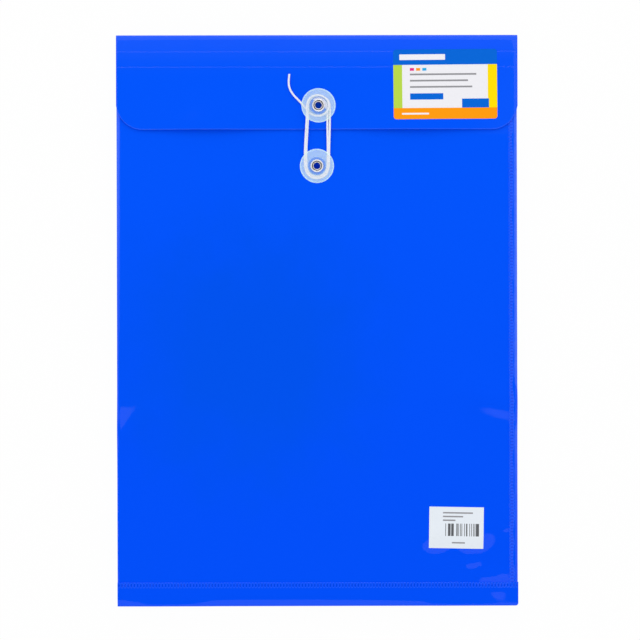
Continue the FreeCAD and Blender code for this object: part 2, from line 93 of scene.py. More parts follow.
class Term:
    """An output socket that takes part in sums and products of a shader graph."""

    def __init__(self, graph: "Graph", socket: bpy.types.NodeSocket) -> None:
        """Wraps one socket of one graph."""
        self.graph = graph
        self.socket = socket

    def _math(self, operation: str, *values: Any) -> "Term":
        """The Math node of that operation on these values."""
        return self.graph.node("ShaderNodeMath", {"operation": operation}, values)

    def __add__(self, other: Any) -> "Term":
        """self + other."""
        return self._math("ADD", self, other)

    __radd__ = __add__

    def __sub__(self, other: Any) -> "Term":
        """self - other."""
        return self._math("SUBTRACT", self, other)

    def __rsub__(self, other: Any) -> "Term":
        """other - self."""
        return self._math("SUBTRACT", other, self)

    def __mul__(self, other: Any) -> "Term":
        """self * other."""
        return self._math("MULTIPLY", self, other)

    __rmul__ = __mul__

    def __gt__(self, other: Any) -> "Term":
        """1 where self is greater than other, else 0."""
        return self._math("GREATER_THAN", self, other)

    def __lt__(self, other: Any) -> "Term":
        """1 where self is less than other, else 0."""
        return self._math("LESS_THAN", self, other)

    def floor(self) -> "Term":
        """The whole number below."""
        return self._math("FLOOR", self)

    def sine(self) -> "Term":
        """The sine, of radians."""
        return self._math("SINE", self)

    def greatest(self, other: Any) -> "Term":
        """The greater of self and other."""
        return self._math("MAXIMUM", self, other)

    def ramp(self, low: float, high: float) -> "Term":
        """Rises smoothly from 0 at low to 1 at high, or falls where low is the greater."""
        settings = {"interpolation_type": "SMOOTHSTEP"}
        return self.graph.node("ShaderNodeMapRange", settings, (self, low, high, 0.0, 1.0))

    def within(self, edge: float, soft: float = 0.25) -> "Term":
        """1 up to soft below the edge, and from there falls smoothly to 0 at soft above it."""
        return self.ramp(edge + soft, edge - soft)


class Graph:
    """The node tree of a material or of the world, started empty."""

    def __init__(self, owner: bpy.types.Material | bpy.types.World) -> None:
        """Empties the owner's tree.

        Args:
            owner: The material or world whose nodes are drawn here.
        """
        owner.use_nodes = True
        self.tree = owner.node_tree
        self.tree.nodes.clear()

    def node(
        self,
        kind: str,
        settings: dict[str, Any] | None = None,
        values: Sequence[Any] | dict[str | int, Any] = (),
        output: str | int = 0,
    ) -> Term:
        """Adds any node.

        Args:
            kind: The node's type.
            settings: Its properties, set before its sockets.
            values: What its inputs get, in order or by name or number. A Term is linked.
            output: The output that comes back.

        Returns:
            That output as a Term.
        """
        made = self.tree.nodes.new(kind)
        for name, setting in (settings or {}).items():
            setattr(made, name, setting)
        pairs = values.items() if isinstance(values, dict) else enumerate(values)
        for key, value in pairs:
            if isinstance(value, Term):
                self.tree.links.new(value.socket, made.inputs[key])
            else:
                made.inputs[key].default_value = value
        return Term(self, made.outputs[output])

    def vector_math(self, operation: str, values: Any, output: str | int = 0) -> Term:
        """The Vector Math node of an operation on these values."""
        return self.node("ShaderNodeVectorMath", {"operation": operation}, values, output)

    def place(self) -> Term:
        """The point in the piece's own coordinates, in millimetres."""
        there = self.node("ShaderNodeTexCoord", output="Object")
        return self.vector_math("SCALE", {0: there, "Scale": 1 / MM})

    def part(self, vector: Term, axis: str) -> Term:
        """The X, Y or Z of a vector."""
        return self.node("ShaderNodeSeparateXYZ", values=(vector,), output=axis)

    def distance(self, where: Term, x: float, y: float) -> Term:
        """The distance from the line through x, y along Z."""
        flat = self.vector_math("MULTIPLY", (where, (1.0, 1.0, 0.0)))
        return self.vector_math("DISTANCE", (flat, (x, y, 0.0)), "Value")

    def noise(self, where: Term, size: float, detail: float = 2.0, stretch: float = 1.0) -> Term:
        """Smooth noise about 0.5.

        Args:
            where: The point that it is read at.
            size: The size of its grain, in the point's own unit.
            detail: How many finer octaves it has.
            stretch: How much longer its grain is along Y.

        Returns:
            The noise's value.
        """
        squeezed = self.vector_math("MULTIPLY", (where, (1, 1 / stretch, 1)))
        values = {"Vector": squeezed, "Scale": 1 / size, "Detail": detail}
        return self.node("ShaderNodeTexNoise", {"noise_dimensions": "3D"}, values)

    def blend(self, share: Any, first: Any, second: Any) -> Term:
        """A colour between two, first at share 0 and second at share 1."""
        settings = {"data_type": "RGBA", "clamp_factor": True}
        values = {0: share, 6: self.rgba(first), 7: self.rgba(second)}
        return self.node("ShaderNodeMix", settings, values, output=2)

    @staticmethod
    def rgba(colour: Any) -> Any:
        """A colour of three numbers as four, and anything else as it is."""
        return (*colour, 1.0) if isinstance(colour, tuple) else colour

    def bump(self, height: Term, depth: float) -> Term:
        """The normal of a relief whose height goes from 0 to 1 over depth millimetres."""
        values = {"Height": height, "Distance": depth * MM, "Strength": 1.0}
        return self.node("ShaderNodeBump", values=values)

    def principled(self, **values: Any) -> Term:
        """A Principled shader whose sockets are given with _ for each space."""
        named = {name.replace("_", " "): self.rgba(value) for name, value in values.items()}
        return self.node("ShaderNodeBsdfPrincipled", values=named)

    def finish(self, shader: Term, kind: str = "ShaderNodeOutputMaterial") -> None:
        """Links a shader to the surface of the output node."""
        out = self.tree.nodes.new(kind)
        self.tree.links.new(shader.socket, out.inputs["Surface"])


def new_material(name: str) -> tuple[bpy.types.Material, Graph]:
    """A material and its empty graph."""
    material = bpy.data.materials.new(name)
    return material, Graph(material)


def dimmed(colour: Colour, share: float) -> Colour:
    """A colour with this share of its light."""
    red, green, blue = colour
    return share * red, share * green, share * blue


# Finishes


@dataclass(frozen=True)
class SheetFinish:
    """Glossy blue polypropylene, with painted light and shade in its colour: a painted sheen at
    the top fold, painted shade over the pocket's middle and towards the bottom, and painted
    highlights along the side folds.

    The places are the sheet's own, in millimetres. A span says where a change starts and where
    it is complete. The relief of the welds comes with the mesh, as an attribute that is 0.5 on
    the flat, 1 on a lip and 0 in a dent; lips and the flap's cut edge are painted paler as
    painted highlight, and dents darker as painted shade.
    """

    # upper and lower: painted shade, the sheet a little darker towards the bottom.
    upper: Colour = (0.0009, 0.0925, 0.99)
    lower: Colour = (0.0007, 0.0815, 0.985)
    # full: painted shade, darker over the middle of the pocket.
    full: Colour = (0.0005, 0.0880, 0.87)
    # Painted sheen, paler at the top fold and at the flap's right end.
    painted_sheen: Colour = (0.0085, 0.1010, 0.992)
    # Painted highlight along the side folds, partly stress whitening.
    whitening_and_highlight: Colour = (0.2600, 0.4200, 0.985)
    # lip: painted highlight on the weld lips and the flap's cut edge; dent: painted shade in the
    # weld dents.
    lip: Colour = (0.0250, 0.1300, 0.99)
    dent: Colour = (0.0002, 0.0600, 0.84)
    glow: Colour = (0.0006, 0.014, 0.14)
    upward: Span = (-165.0, 150.0)
    upward_wander: float = 40.0
    shade_middle: tuple[float, float] = (-42.0, -19.0)
    shade_reach: Span = (118.0, 20.0)
    shade_wander: float = 60.0
    top_bend: Span = (138.0, 178.0)
    flap_end: Span = (88.0, 124.0)
    flap_end_above: float = 118.0
    flap_end_share: float = 0.3
    right_edge: Span = (124.3, 125.4)
    right_run: Span = (-160.0, -20.0)
    right_share: float = 0.25
    left_edge: Span = (-124.6, -126.2)
    left_run: Span = (-20.0, 110.0)
    left_share: float = 0.2
    pocket_top: float = 5.9
    inner_level: float = 0.15
    roughness: float = 0.04
    rubbed_roughness: float = 0.10
    specular: float = 0.21

    def colour(self, graph: Graph, where: Term) -> Term:
        """The sheet's colour, with painted light and shade at its folds, welds, cut edge and
        pocket.

        Args:
            graph: The material's graph.
            where: The point that it is read at.

        Returns:
            The colour.
        """
        toward_right, height = graph.part(where, "X"), graph.part(where, "Y")
        mottle = graph.noise(where, 24.0, 3.0) - 0.5
        # Painted shade: the sheet darker towards the bottom.
        upward = (height + self.upward_wander * mottle).ramp(*self.upward)
        colour = graph.blend(upward, self.lower, self.upper)
        # Painted shade: darker over the middle of the pocket.
        from_middle = graph.distance(where, *self.shade_middle) + self.shade_wander * mottle
        colour = graph.blend(from_middle.ramp(*self.shade_reach), colour, self.full)
        # Painted sheen: paler near the top fold and at the flap's right end.
        bent = height.ramp(*self.top_bend)
        steep = bent * bent
        patchy = 0.75 + 0.5 * graph.noise(where, 16.0)
        at_end = toward_right.ramp(*self.flap_end) * (height > self.flap_end_above)
        painted_sheen = (steep * steep * patchy).greatest(self.flap_end_share * at_end)
        colour = graph.blend(painted_sheen, colour, self.painted_sheen)
        # Painted highlight along the side folds, partly stress whitening, on the pocket only.
        at_right = toward_right.ramp(*self.right_edge) * height.ramp(*self.right_run)
        at_left = toward_right.ramp(*self.left_edge) * height.ramp(*self.left_run)
        folded = self.right_share * at_right + self.left_share * at_left
        on_pocket = graph.part(where, "Z") < self.pocket_top
        fine = 0.35 + 0.7 * graph.noise(where, 5.0)
        colour = graph.blend(folded * on_pocket * fine, colour, self.whitening_and_highlight)
        # Painted highlight on the lips and the flap's cut edge, painted shade in the dents.
        relief = graph.node("ShaderNodeAttribute", {"attribute_name": "weld"}, output="Fac")
        colour = graph.blend(relief.ramp(0.52, 1.0), colour, self.lip)
        return graph.blend(relief.ramp(0.48, 0.15), colour, self.dent)

    def material(
        self, name: str = "blue_polypropylene", glowing: bool = False
    ) -> bpy.types.Material:
        """The sheet's material, on Object coordinates.

        Args:
            name: The material's name.
            glowing: Whether its upper face glows with the light that soaks into the pocket.

        Returns:
            The material.
        """
        material, graph = new_material(name)
        where = graph.place()
        rubbed = graph.noise(where, 0.9, 4.0, stretch=30.0).ramp(0.55, 0.8)
        worn = graph.noise(where, 38.0).ramp(0.45, 0.75)
        values = {
            "Base_Color": self.colour(graph, where),
            "Roughness": self.roughness + self.rubbed_roughness * (rubbed * worn),
            "Specular_IOR_Level": self.specular,
            "IOR": PLASTIC_IOR,
            "Normal": graph.bump(graph.noise(where, 7.0, 1.0), 0.004),
        }
        if glowing:
            inner_face = graph.part(where, "Z") > self.inner_level
            values["Emission_Color"] = graph.blend(inner_face, BLACK, self.glow)
            values["Emission_Strength"] = 1.0
        graph.finish(graph.principled(**values))
        return material


@dataclass(frozen=True)
class DiscFinish:
    """Milky clear plastic, clearer over its hub and denser at its rim."""

    colour: Colour = (0.72, 0.99, 0.94)
    hub_radius: float = 5.6
    rim: Span = (9.9, 10.3)
    cover: float = 0.31
    cloud_cover: float = 0.04
    hub_cover: float = 0.11
    speck_cover: float = 0.2
    rim_cover: float = 0.5

    def material(self, name: str, x: float, y: float) -> bpy.types.Material:
        """The material of a disc centred at x, y.

        Args:
            name: The material's name.
            x: The disc's middle along X.
            y: The disc's middle along Y.

        Returns:
            The material, on Object coordinates.
        """
        material, graph = new_material(name)
        where = graph.place()
        radius = graph.distance(where, x, y)
        hub = radius.within(self.hub_radius)
        cloud = graph.noise(where, 4.0)
        specks = graph.noise(where, 0.8, 1.0).ramp(0.68, 0.78) * hub
        cover = self.cover + self.cloud_cover * (cloud - 0.5) + self.speck_cover * specks
        cover = cover - (self.cover - self.hub_cover) * hub
        cover = cover + (self.rim_cover - self.cover) * radius.ramp(*self.rim)
        shader = graph.principled(
            Base_Color=self.colour,
            Roughness=0.16 + 0.08 * cloud,
            Specular_IOR_Level=0.3,
            IOR=PLASTIC_IOR,
            Alpha=cover,
            Normal=graph.bump(graph.noise(where, 2.5), 0.01),
        )
        graph.finish(shader)
        return material


@dataclass(frozen=True)
class WasherFinish:
    """Clear plastic of a washer, blue and glowing with the light of the sheet under it.

    The string's end that is caught in the upper washer shows through it along an arc, paler,
    with a painted glow.
    """

    colour: Colour = (0.065, 0.215, 0.98)
    glow: Colour = (0.0, 0.045, 0.12)
    roughness: float = 0.3
    cover: float = 0.8
    string_tint: Colour = (0.82, 0.80, 0.95)
    string_painted_glow: Colour = (0.06, 0.07, 0.09)
    arc_drop: float = 0.7
    arc_radius: float = 4.9
    arc_width: float = 0.85
    arc_lean: float = 0.7
    arc_start: Span = (0.6, 1.8)

    def string_end(self, graph: Graph, where: Term, x: float, y: float) -> Term:
        """How much the string's end shows: on the arc, above and right of the axis at x, y."""
        beyond = graph.distance(where, x, y - self.arc_drop) - self.arc_radius
        off_arc = beyond.greatest(-1.0 * beyond)
        aside = graph.part(where, "Y") - y + self.arc_lean * (graph.part(where, "X") - x)
        return off_arc.within(self.arc_width) * aside.ramp(*self.arc_start)

    def material(self, name: str, x: float, y: float, holds_string: bool) -> bpy.types.Material:
        """The material of a washer centred at x, y.

        Args:
            name: The material's name.
            x: The washer's middle along X.
            y: The washer's middle along Y.
            holds_string: Whether the string's end is caught in this washer.

        Returns:
            The material, on Object coordinates.
        """
        material, graph = new_material(name)
        where = graph.place()
        cloud = graph.noise(where, 2.2)
        colour = graph.blend(cloud, dimmed(self.colour, 0.85), self.colour)
        glow = self.glow
        # The string's end: a paler arc with a painted glow.
        if holds_string:
            shown = self.string_end(graph, where, x, y)
            colour = graph.blend(shown, colour, self.string_tint)
            glow = graph.blend(shown, self.glow, self.string_painted_glow)
        shader = graph.principled(
            Base_Color=colour,
            Roughness=self.roughness + 0.1 * cloud,
            Specular_IOR_Level=0.4,
            Alpha=self.cover,
            Emission_Color=glow,
            Emission_Strength=1.0,
            Normal=graph.bump(graph.noise(where, 0.5), 0.01),
        )
        graph.finish(shader)
        return material


@dataclass(frozen=True)
class MetalFinish:
    """Bright nickel, darker brown in the groove between flange and rolled lip."""

    colour: Colour = (0.95, 0.94, 0.955)
    groove_brown: Colour = (0.17, 0.14, 0.15)
    barrel: Colour = (0.9, 0.9, 0.9)
    groove_inside: Span = (2.41, 2.63)
    groove_outside: Span = (3.17, 2.97)
    bore: float = 2.08
    bore_edge: Span = (2.2, 2.12)
    roughness: float = 0.16

    def material(self, name: str, x: float, y: float) -> bpy.types.Material:
        """The material of an eyelet whose axis is at x, y.

        Args:
            name: The material's name.
            x: The eyelet's middle along X.
            y: The eyelet's middle along Y.

        Returns:
            The material, on Object coordinates.
        """
        material, graph = new_material(name)
        where = graph.place()
        radius = graph.distance(where, x, y)
        # Darker brown in the groove between the rolled lip and the flange.
        in_groove = radius.ramp(*self.groove_inside) * radius.ramp(*self.groove_outside)
        patchy = 0.55 + 0.45 * graph.noise(where, 0.9).ramp(0.35, 0.6)
        colour = graph.blend(in_groove * patchy, self.colour, self.groove_brown)
        shader = graph.principled(
            # Inside the bore the barrel's colour; the lower eyelet's is painted near black, as
            # painted shade.
            Base_Color=graph.blend(radius.ramp(*self.bore_edge), colour, self.barrel),
            Metallic=1.0,
            Roughness=self.roughness + 0.14 * graph.noise(where, 0.25, 3.0),
            Normal=graph.bump(graph.noise(where, 0.35), 0.006),
        )
        graph.finish(shader)
        return material


@dataclass(frozen=True)
class StringFinish:
    """White twisted string: two plies that turn round each other, with a fine nap."""

    colour: Colour = (0.86, 0.875, 0.955)
    shade: Colour = (0.73, 0.745, 0.85)
    under_disc: Colour = (0.83, 0.64, 0.87)
    disc_edge: Span = (10.8, 10.4)
    twists: float = 190.0

    def material(self, buttons: Sequence[tuple[float, float]]) -> bpy.types.Material:
        """The string's material, on the curve's own UV: U along it and V round it.

        Args:
            buttons: The x and y of each button's axis, round which the string lies in its shade.

        Returns:
            The material.
        """
        material, graph = new_material("white_string")
        where = graph.place()
        along = graph.node("ShaderNodeTexCoord", output="UV")
        turn = graph.part(along, "X") * self.twists + 2.0 * graph.part(along, "Y")
        ply = 0.5 + 0.5 * (turn * math.tau).sine()
        nap = graph.noise(where, 0.22, 3.0)
        colour = graph.blend(0.3 * (1.0 - ply), self.colour, self.shade)
        for x, y in buttons:
            shaded = graph.distance(where, x, y).ramp(*self.disc_edge)
            colour = graph.blend(shaded, colour, self.under_disc)
        shader = graph.principled(
            Base_Color=colour,
            Roughness=0.72 + 0.15 * nap,
            Specular_IOR_Level=0.25,
            Sheen_Weight=0.25,
            Sheen_Roughness=0.4,
            Normal=graph.bump(0.75 * ply + 0.25 * nap, 0.03),
        )
        graph.finish(shader)
        return material


class Print(Enum):
    """The two stickers' plain prints."""

    FIELDS = "fields"
    BARS = "bars"


@dataclass(frozen=True)
class Patch:
    """A plain rectangle of a print, in parts of the sticker's width and height."""

    left: float
    bottom: float
    right: float
    top: float
    colour: Colour


@dataclass(frozen=True)
class StickerFinish:
    """Satin printed paper sticker with a plain layout of rectangles."""

    kind: Print
    paper: Colour
    patches: tuple[Patch, ...]
    bar_box: tuple[float, float, float, float] | None = None
    bar_count: float = 84.0
    bar_gaps: float = 0.42
    ink: Colour = (0.035, 0.035, 0.04)
    ink_cover: float = 0.9

    @staticmethod
    def inside(u: Term, v: Term, box: Sequence[float]) -> Term:
        """1 inside a box of left, bottom, right and top, else 0."""
        left, bottom, right, top = box
        return (u > left) * (u < right) * (v > bottom) * (v < top)

    def material(self) -> bpy.types.Material:
        """The sticker's material, on the sticker's own UV map."""
        material, graph = new_material(f"sticker_{self.kind.value}")
        print_place = graph.node("ShaderNodeUVMap", {"uv_map": "print"})
        u, v = graph.part(print_place, "X"), graph.part(print_place, "Y")
        fibre = graph.noise(graph.place(), 0.35, 3.0)
        colour = graph.blend(0.25 * fibre, self.paper, dimmed(self.paper, 0.9))
        for patch in self.patches:
            box = (patch.left, patch.bottom, patch.right, patch.top)
            colour = graph.blend(self.inside(u, v, box), colour, patch.colour)
        if self.bar_box is not None:
            number = (u * self.bar_count).floor()
            settings = {"noise_dimensions": "1D"}
            chance = graph.node("ShaderNodeTexWhiteNoise", settings, {"W": number})
            bars = (chance > self.bar_gaps) * self.inside(u, v, self.bar_box)
            colour = graph.blend(self.ink_cover * bars, colour, self.ink)
        shader = graph.principled(
            Base_Color=colour,
            Roughness=0.42 + 0.12 * fibre,
            Specular_IOR_Level=0.06,
            Normal=graph.bump(fibre, 0.006),
        )
        graph.finish(shader)
        return material


BLUE_INK = (0.0, 0.132, 0.68)
YELLOW_INK = (1.0, 0.74, 0.0)
GREEN_INK = (0.48, 0.69, 0.07)
ORANGE_INK = (1.0, 0.33, 0.003)
PINK_INK = (0.80, 0.02, 0.25)
CYAN_INK = (0.02, 0.42, 0.80)
GREY_INK = (0.30, 0.30, 0.32)
OFF_WHITE = (0.875, 0.87, 0.915)


def grey_lines(left: float, height: float, *lines: Span) -> tuple[Patch, ...]:
    """Plain grey lines of one height from one left end.

    Args:
        left: Their left end.
        height: Their height.
        lines: The bottom and the right end of each.

    Returns:
        A patch for each line.
    """
    return tuple(Patch(left, low, right, low + height, GREY_INK) for low, right in lines)


FLAP_PRINT = StickerFinish(
    kind=Print.FIELDS,
    paper=OFF_WHITE,
    patches=(
        Patch(0.0, 0.78, 1.0, 1.0, BLUE_INK),
        Patch(0.06, 0.85, 0.50, 0.93, OFF_WHITE),
        Patch(0.0, 0.16, 0.085, 0.78, GREEN_INK),
        Patch(0.91, 0.16, 1.0, 0.78, YELLOW_INK),
        Patch(0.0, 0.0, 1.0, 0.16, ORANGE_INK),
        Patch(0.66, 0.16, 0.92, 0.29, BLUE_INK),
        *grey_lines(0.16, 0.025, (0.63, 0.80), (0.54, 0.72), (0.45, 0.76)),
        Patch(0.16, 0.28, 0.48, 0.37, BLUE_INK),
        Patch(0.16, 0.695, 0.20, 0.735, PINK_INK),
        Patch(0.22, 0.695, 0.26, 0.735, ORANGE_INK),
        Patch(0.28, 0.695, 0.32, 0.735, CYAN_INK),
        Patch(0.08, 0.065, 0.34, 0.09, OFF_WHITE),
    ),
)
FRONT_PRINT = StickerFinish(
    kind=Print.BARS,
    paper=(0.81, 0.865, 0.93),
    patches=(
        *grey_lines(0.25, 0.035, (0.84, 0.80), (0.75, 0.62), (0.66, 0.48)),
        Patch(0.42, 0.12, 0.66, 0.155, GREY_INK),
    ),
    bar_box=(0.255, 0.30, 0.915, 0.60),
)


# Surfaces


def grid_faces(rows: int, columns: int, closed: bool = False) -> Faces:
    """The quads of a grid of points numbered row by row.

    Args:
        rows: How many rows of points there are.
        columns: How many points a row has.
        closed: Whether both the rows and the columns come round to their start.

    Returns:
        Four corners for each quad, anticlockwise where rows go up and columns right.
    """
    row_steps = np.arange(rows if closed else rows - 1)
    column_steps = np.arange(columns if closed else columns - 1)
    row, column = (part.ravel() for part in np.meshgrid(row_steps, column_steps, indexing="ij"))
    next_row, next_column = (row + 1) % rows, (column + 1) % columns
    corners = [(row, column), (row, next_column), (next_row, next_column), (next_row, column)]
    return np.column_stack([down * columns + across for down, across in corners])


@dataclass
class Surface:
    """A surface of quads: its points in millimetres, and each face's corners, wound outwards."""

    points: Array
    faces: Faces
    print_map: Array | None = None
    weld: Array | None = None

    def normals(self) -> Array:
        """Each point's normal: the crossed diagonals of its quads, added up and made unit."""
        corner = self.points[self.faces]
        cross = np.cross(corner[:, 2] - corner[:, 0], corner[:, 3] - corner[:, 1])
        total = np.zeros_like(self.points)
        for side in range(4):
            np.add.at(total, self.faces[:, side], cross)
        return total / np.maximum(np.linalg.norm(total, axis=1, keepdims=True), 1e-12)

    def thickened(self, gauge: float) -> "Surface":
        """A closed sheet: this surface, its copy a gauge inwards, and a wall along its rims.

        Args:
            gauge: The sheet's thickness.

        Returns:
            The closed surface.
        """
        count = len(self.points)
        inner = self.points - gauge * self.normals()
        steps = [self.faces[:, [side, (side + 1) % 4]] for side in range(4)]
        directed = np.concatenate(steps)
        there = directed[:, 0] * count + directed[:, 1]
        back = directed[:, 1] * count + directed[:, 0]
        rim = directed[~np.isin(there, back)]
        wall = np.column_stack([rim[:, 1], rim[:, 0], rim[:, 0] + count, rim[:, 1] + count])
        faces = np.concatenate([self.faces, self.faces[:, ::-1] + count, wall])
        prints = None if self.print_map is None else np.concatenate([self.print_map] * 2)
        weld = None if self.weld is None else np.concatenate([self.weld] * 2)
        return Surface(np.concatenate([self.points, inner]), faces, prints, weld)

    def build(self, name: str, material: bpy.types.Material) -> bpy.types.Object:
        """The surface as a smooth-shaded mesh object at the origin.

        Args:
            name: The object's name.
            material: Its only material.

        Returns:
            The object, in the scene.
        """
        mesh = bpy.data.meshes.new(name)
        mesh.from_pydata((self.points * MM).tolist(), [], self.faces.tolist())
        mesh.shade_smooth()
        mesh.set_sharp_from_angle(angle=SHARP_ANGLE)
        if self.print_map is not None:
            layer = mesh.uv_layers.new(name="print")
            corners = self.print_map[self.faces.ravel()]
            layer.data.foreach_set("uv", corners.astype(np.float32).ravel())
        relief = np.full(len(self.points), 0.5) if self.weld is None else self.weld
        layer = mesh.attributes.new(name="weld", type="FLOAT", domain="POINT")
        layer.data.foreach_set("value", relief.astype(np.float32).ravel())
        mesh.materials.append(material)
        mesh.validate()
        log.info("%s: %d points, %d quads", name, len(self.points), len(self.faces))
        return linked(name, mesh)


def grid_surface(x: Array, y: Array, z: Array, **maps: Array) -> Surface:
    """A surface through a grid of points, whose rows go up and columns right.

    Args:
        x: The points' X, broadcast with the others.
        y: Their Y.
        z: Their Z.
        maps: The surface's print map or weld relief.

    Returns:
        The surface.
    """
    points = np.stack(np.broadcast_arrays(x, y, z), axis=-1)
    return Surface(points.reshape(-1, 3), grid_faces(*points.shape[:2]), **maps)


def lathe(profile: Array, x: float, y: float, segments: int = 96) -> Surface:
    """A closed ring: a closed profile of (radius, height) turned about the upright at x, y.

    Point (i, j) is (x, y) + radius_i times the unit vector at angle 2 pi j / n, at height_i.

    Args:
        profile: Points of radius and height, clockwise seen with the radius to the right.
        x: The axis's place along X.
        y: The axis's place along Y.
        segments: How many steps the turn has.

    Returns:
        The turned surface.
    """
    angle = np.linspace(0.0, math.tau, segments, endpoint=False)
    radius, height = profile[:, :1], profile[:, 1:]
    turned = grid_surface(x + radius * np.cos(angle), y + radius * np.sin(angle), height)
    turned.faces = grid_faces(len(profile), segments, closed=True)[:, ::-1]
    return turned


def arc(
    middle: tuple[float, float], radii: tuple[float, float], start: float, end: float, count: int
) -> Array:
    """Points of an upright ellipse's arc: middle + (a cos t, b sin t), t in degrees.

    Args:
        middle: The ellipse's centre.
        radii: Its half widths a and b.
        start: The first angle.
        end: The last angle.
        count: How many points there are.

    Returns:
        The points, both ends among them.
    """
    angle = np.radians(np.linspace(start, end, count))
    return np.column_stack(
        [middle[0] + radii[0] * np.cos(angle), middle[1] + radii[1] * np.sin(angle)]
    )


def spaced(marks: Sequence[float], step: float) -> Array:
    """Coordinates through all marks, with even steps of at most step between them."""
    parts = []
    for low, high in zip(marks, marks[1:]):
        count = max(1, math.ceil((high - low) / step - 1e-6))
        parts.append(np.linspace(low, high, count, endpoint=False))
    return np.concatenate([*parts, [marks[-1]]])


def merged(*lines: Array) -> Array:
    """The coordinates of all the lines in rising order, each once."""
    return np.unique(np.concatenate(lines))


@dataclass(frozen=True)
class Hole:
    """A round hole, and the square round it where the grid gives way to rings."""

    x: float
    y: float
    radius: float
    half: float = 9.0
    divisions: int = 12
    rings: int = 6

    def marks(self, middle: float) -> tuple[float, float]:
        """The square's two sides on an axis."""
        return middle - self.half, middle + self.half

    def lines(self, low: float, high: float, middle: float, step: float) -> Array:
        """Grid lines on one axis, evenly divided across the square.

        Args:
            low: The first line.
            high: The last line.
            middle: The hole's middle on this axis.
            step: The greatest step outside the square.

        Returns:
            The lines' coordinates.
        """
        near, far = self.marks(middle)
        across = np.linspace(near, far, self.divisions + 1)
        before, after = spaced((low, near), step)[:-1], spaced((far, high), step)[1:]
        return np.concatenate([before, across, after])


def flat_grid(x_lines: Array, y_lines: Array, hole: Hole | None = None) -> tuple[Array, Faces]:
    """A flat grid, with a round hole where one is given.

    Inside the hole's square the rings are (1 - t) square + t circle, t growing inwards.

    Args:
        x_lines: The columns' X.
        y_lines: The rows' Y.
        hole: The hole, whose square's sides are among the lines.

    Returns:
        The points as x and y, and the quads.
    """
    columns = len(x_lines)
    points = np.stack(np.meshgrid(x_lines, y_lines), axis=-1).reshape(-1, 2)
    faces = grid_faces(len(y_lines), columns)
    if hole is None:
        return points, faces
    centre = np.array([hole.x, hole.y])
    middles = points[faces].mean(axis=1)
    faces = faces[np.abs(middles - centre).max(axis=1) > hole.half]
    left, right = np.abs(x_lines[:, None] - hole.marks(hole.x)).argmin(axis=0)
    bottom, top = np.abs(y_lines[:, None] - hole.marks(hole.y)).argmin(axis=0)
    rows, across = np.arange(bottom, top), np.arange(left, right)
    square = np.concatenate(
        [
            bottom * columns + across,
            rows * columns + right,
            top * columns + across[::-1] + 1,
            (rows[::-1] + 1) * columns + left,
        ]
    )
    outward = points[square] - centre
    circle = centre + hole.radius * outward / np.linalg.norm(outward, axis=1, keepdims=True)
    share = (np.arange(1, hole.rings + 1) / hole.rings)[:, None, None]
    rings = (1 - share) * points[square] + share * circle
    numbers = len(points) + np.arange(hole.rings * len(square)).reshape(hole.rings, -1)
    outer = np.concatenate([square[None], numbers[:-1]])
    after = np.roll(outer, -1, axis=1)
    inner_after = np.roll(numbers, -1, axis=1)
    ring_faces = np.stack([outer, after, inner_after, numbers], axis=-1).reshape(-1, 4)
    faces = np.concatenate([faces, ring_faces])
    points = np.concatenate([points, rings.reshape(-1, 2)])
    used, renumbered = np.unique(faces, return_inverse=True)
    return points[used], renumbered.reshape(-1, 4)


# The sheet's own shape


@dataclass(frozen=True)
class Swell:
    """A smooth oval rise: height times exp(-(along / long)^2 - (across / wide)^2)."""

    x: float
    y: float
    long: float
    wide: float
    turn: float
    height: float

    def rise(self, x: Array, y: Array) -> Array:
        """The rise at points x, y."""
        angle = math.radians(self.turn)
        along = (x - self.x) * math.cos(angle) + (y - self.y) * math.sin(angle)
        across = (y - self.y) * math.cos(angle) - (x - self.x) * math.sin(angle)
        return self.height * np.exp(-((along / self.long) ** 2) - (across / self.wide) ** 2)


FRONT_SWELLS = (
    Swell(99.1, -137.8, 11.0, 7.4, 17.7, 1.18),
    Swell(75.8, -136.0, 10.9, 7.6, 22.5, 1.41),
    Swell(98.8, -153.4, 5.1, 2.6, 5.2, 0.62),
    Swell(110.8, -161.1, 9.6, 5.4, -1.4, 0.88),
    Swell(113.2, -171.0, 6.4, 3.8, -13.1, 0.33),
    Swell(119.2, -131.0, 5.3, 2.7, -2.5, 0.27),
    Swell(112.2, -49.5, 34.2, 12.0, -16.1, 1.69),
    Swell(-113.5, -62.8, 24.1, 10.8, 36.6, 1.45),
    Swell(0.0, -30.0, 90.0, 120.0, 0.0, 0.4),
)
FLAP_SWELLS = (
    Swell(-70.0, 112.0, 31.0, 26.0, 0.0, 2.0),
    Swell(60.0, 112.0, 33.0, 24.0, 0.0, 2.0),
)


def bulge(swells: Sequence[Swell], x: Array, y: Array) -> Array:
    """All the swells together at points x, y."""
    return sum((swell.rise(x, y) for swell in swells), np.zeros_like(x))


def rounded_edge(
    height: Array, reach: Array, slope: Array, bend: float, steps: int, power: Array = 2.0
) -> tuple[Array, Array]:
    """The section of a folded edge from the front's surface round to the back's underside.

    The upper bend is the front's slope carried on, less the drop of a superellipse:
    (out / reach)^power + (1 - drop / bend)^power = 1. The lower bend is the same without slope.

    Args:
        height: The front's height where the fold starts, one value for each column.
        reach: How far the fold goes outwards, one value or one for each column.
        slope: The front's fall where the fold starts, one value for each column.
        bend: The height of each bend.
        steps: How many steps a bend has.
        power: The superellipse's power, 2 for a round fold and more for a sharp one,
            one value or one for each column.

    Returns:
        How far out and how high each point is, one row for each point of the section.
    """
    turn = np.linspace(0.0, math.pi / 2, steps + 1)[:, None]
    rise, run = np.cos(turn).clip(0.0) ** (2 / power), np.sin(turn) ** (2 / power)
    out = reach * run + 0 * height
    upper_high = height - slope * reach * run - bend * (1 - rise)
    lower_out, lower_high = reach * rise + 0 * height, bend * (1 - run) + 0 * height
    return np.concatenate([out, lower_out]), np.concatenate([upper_high, lower_high])


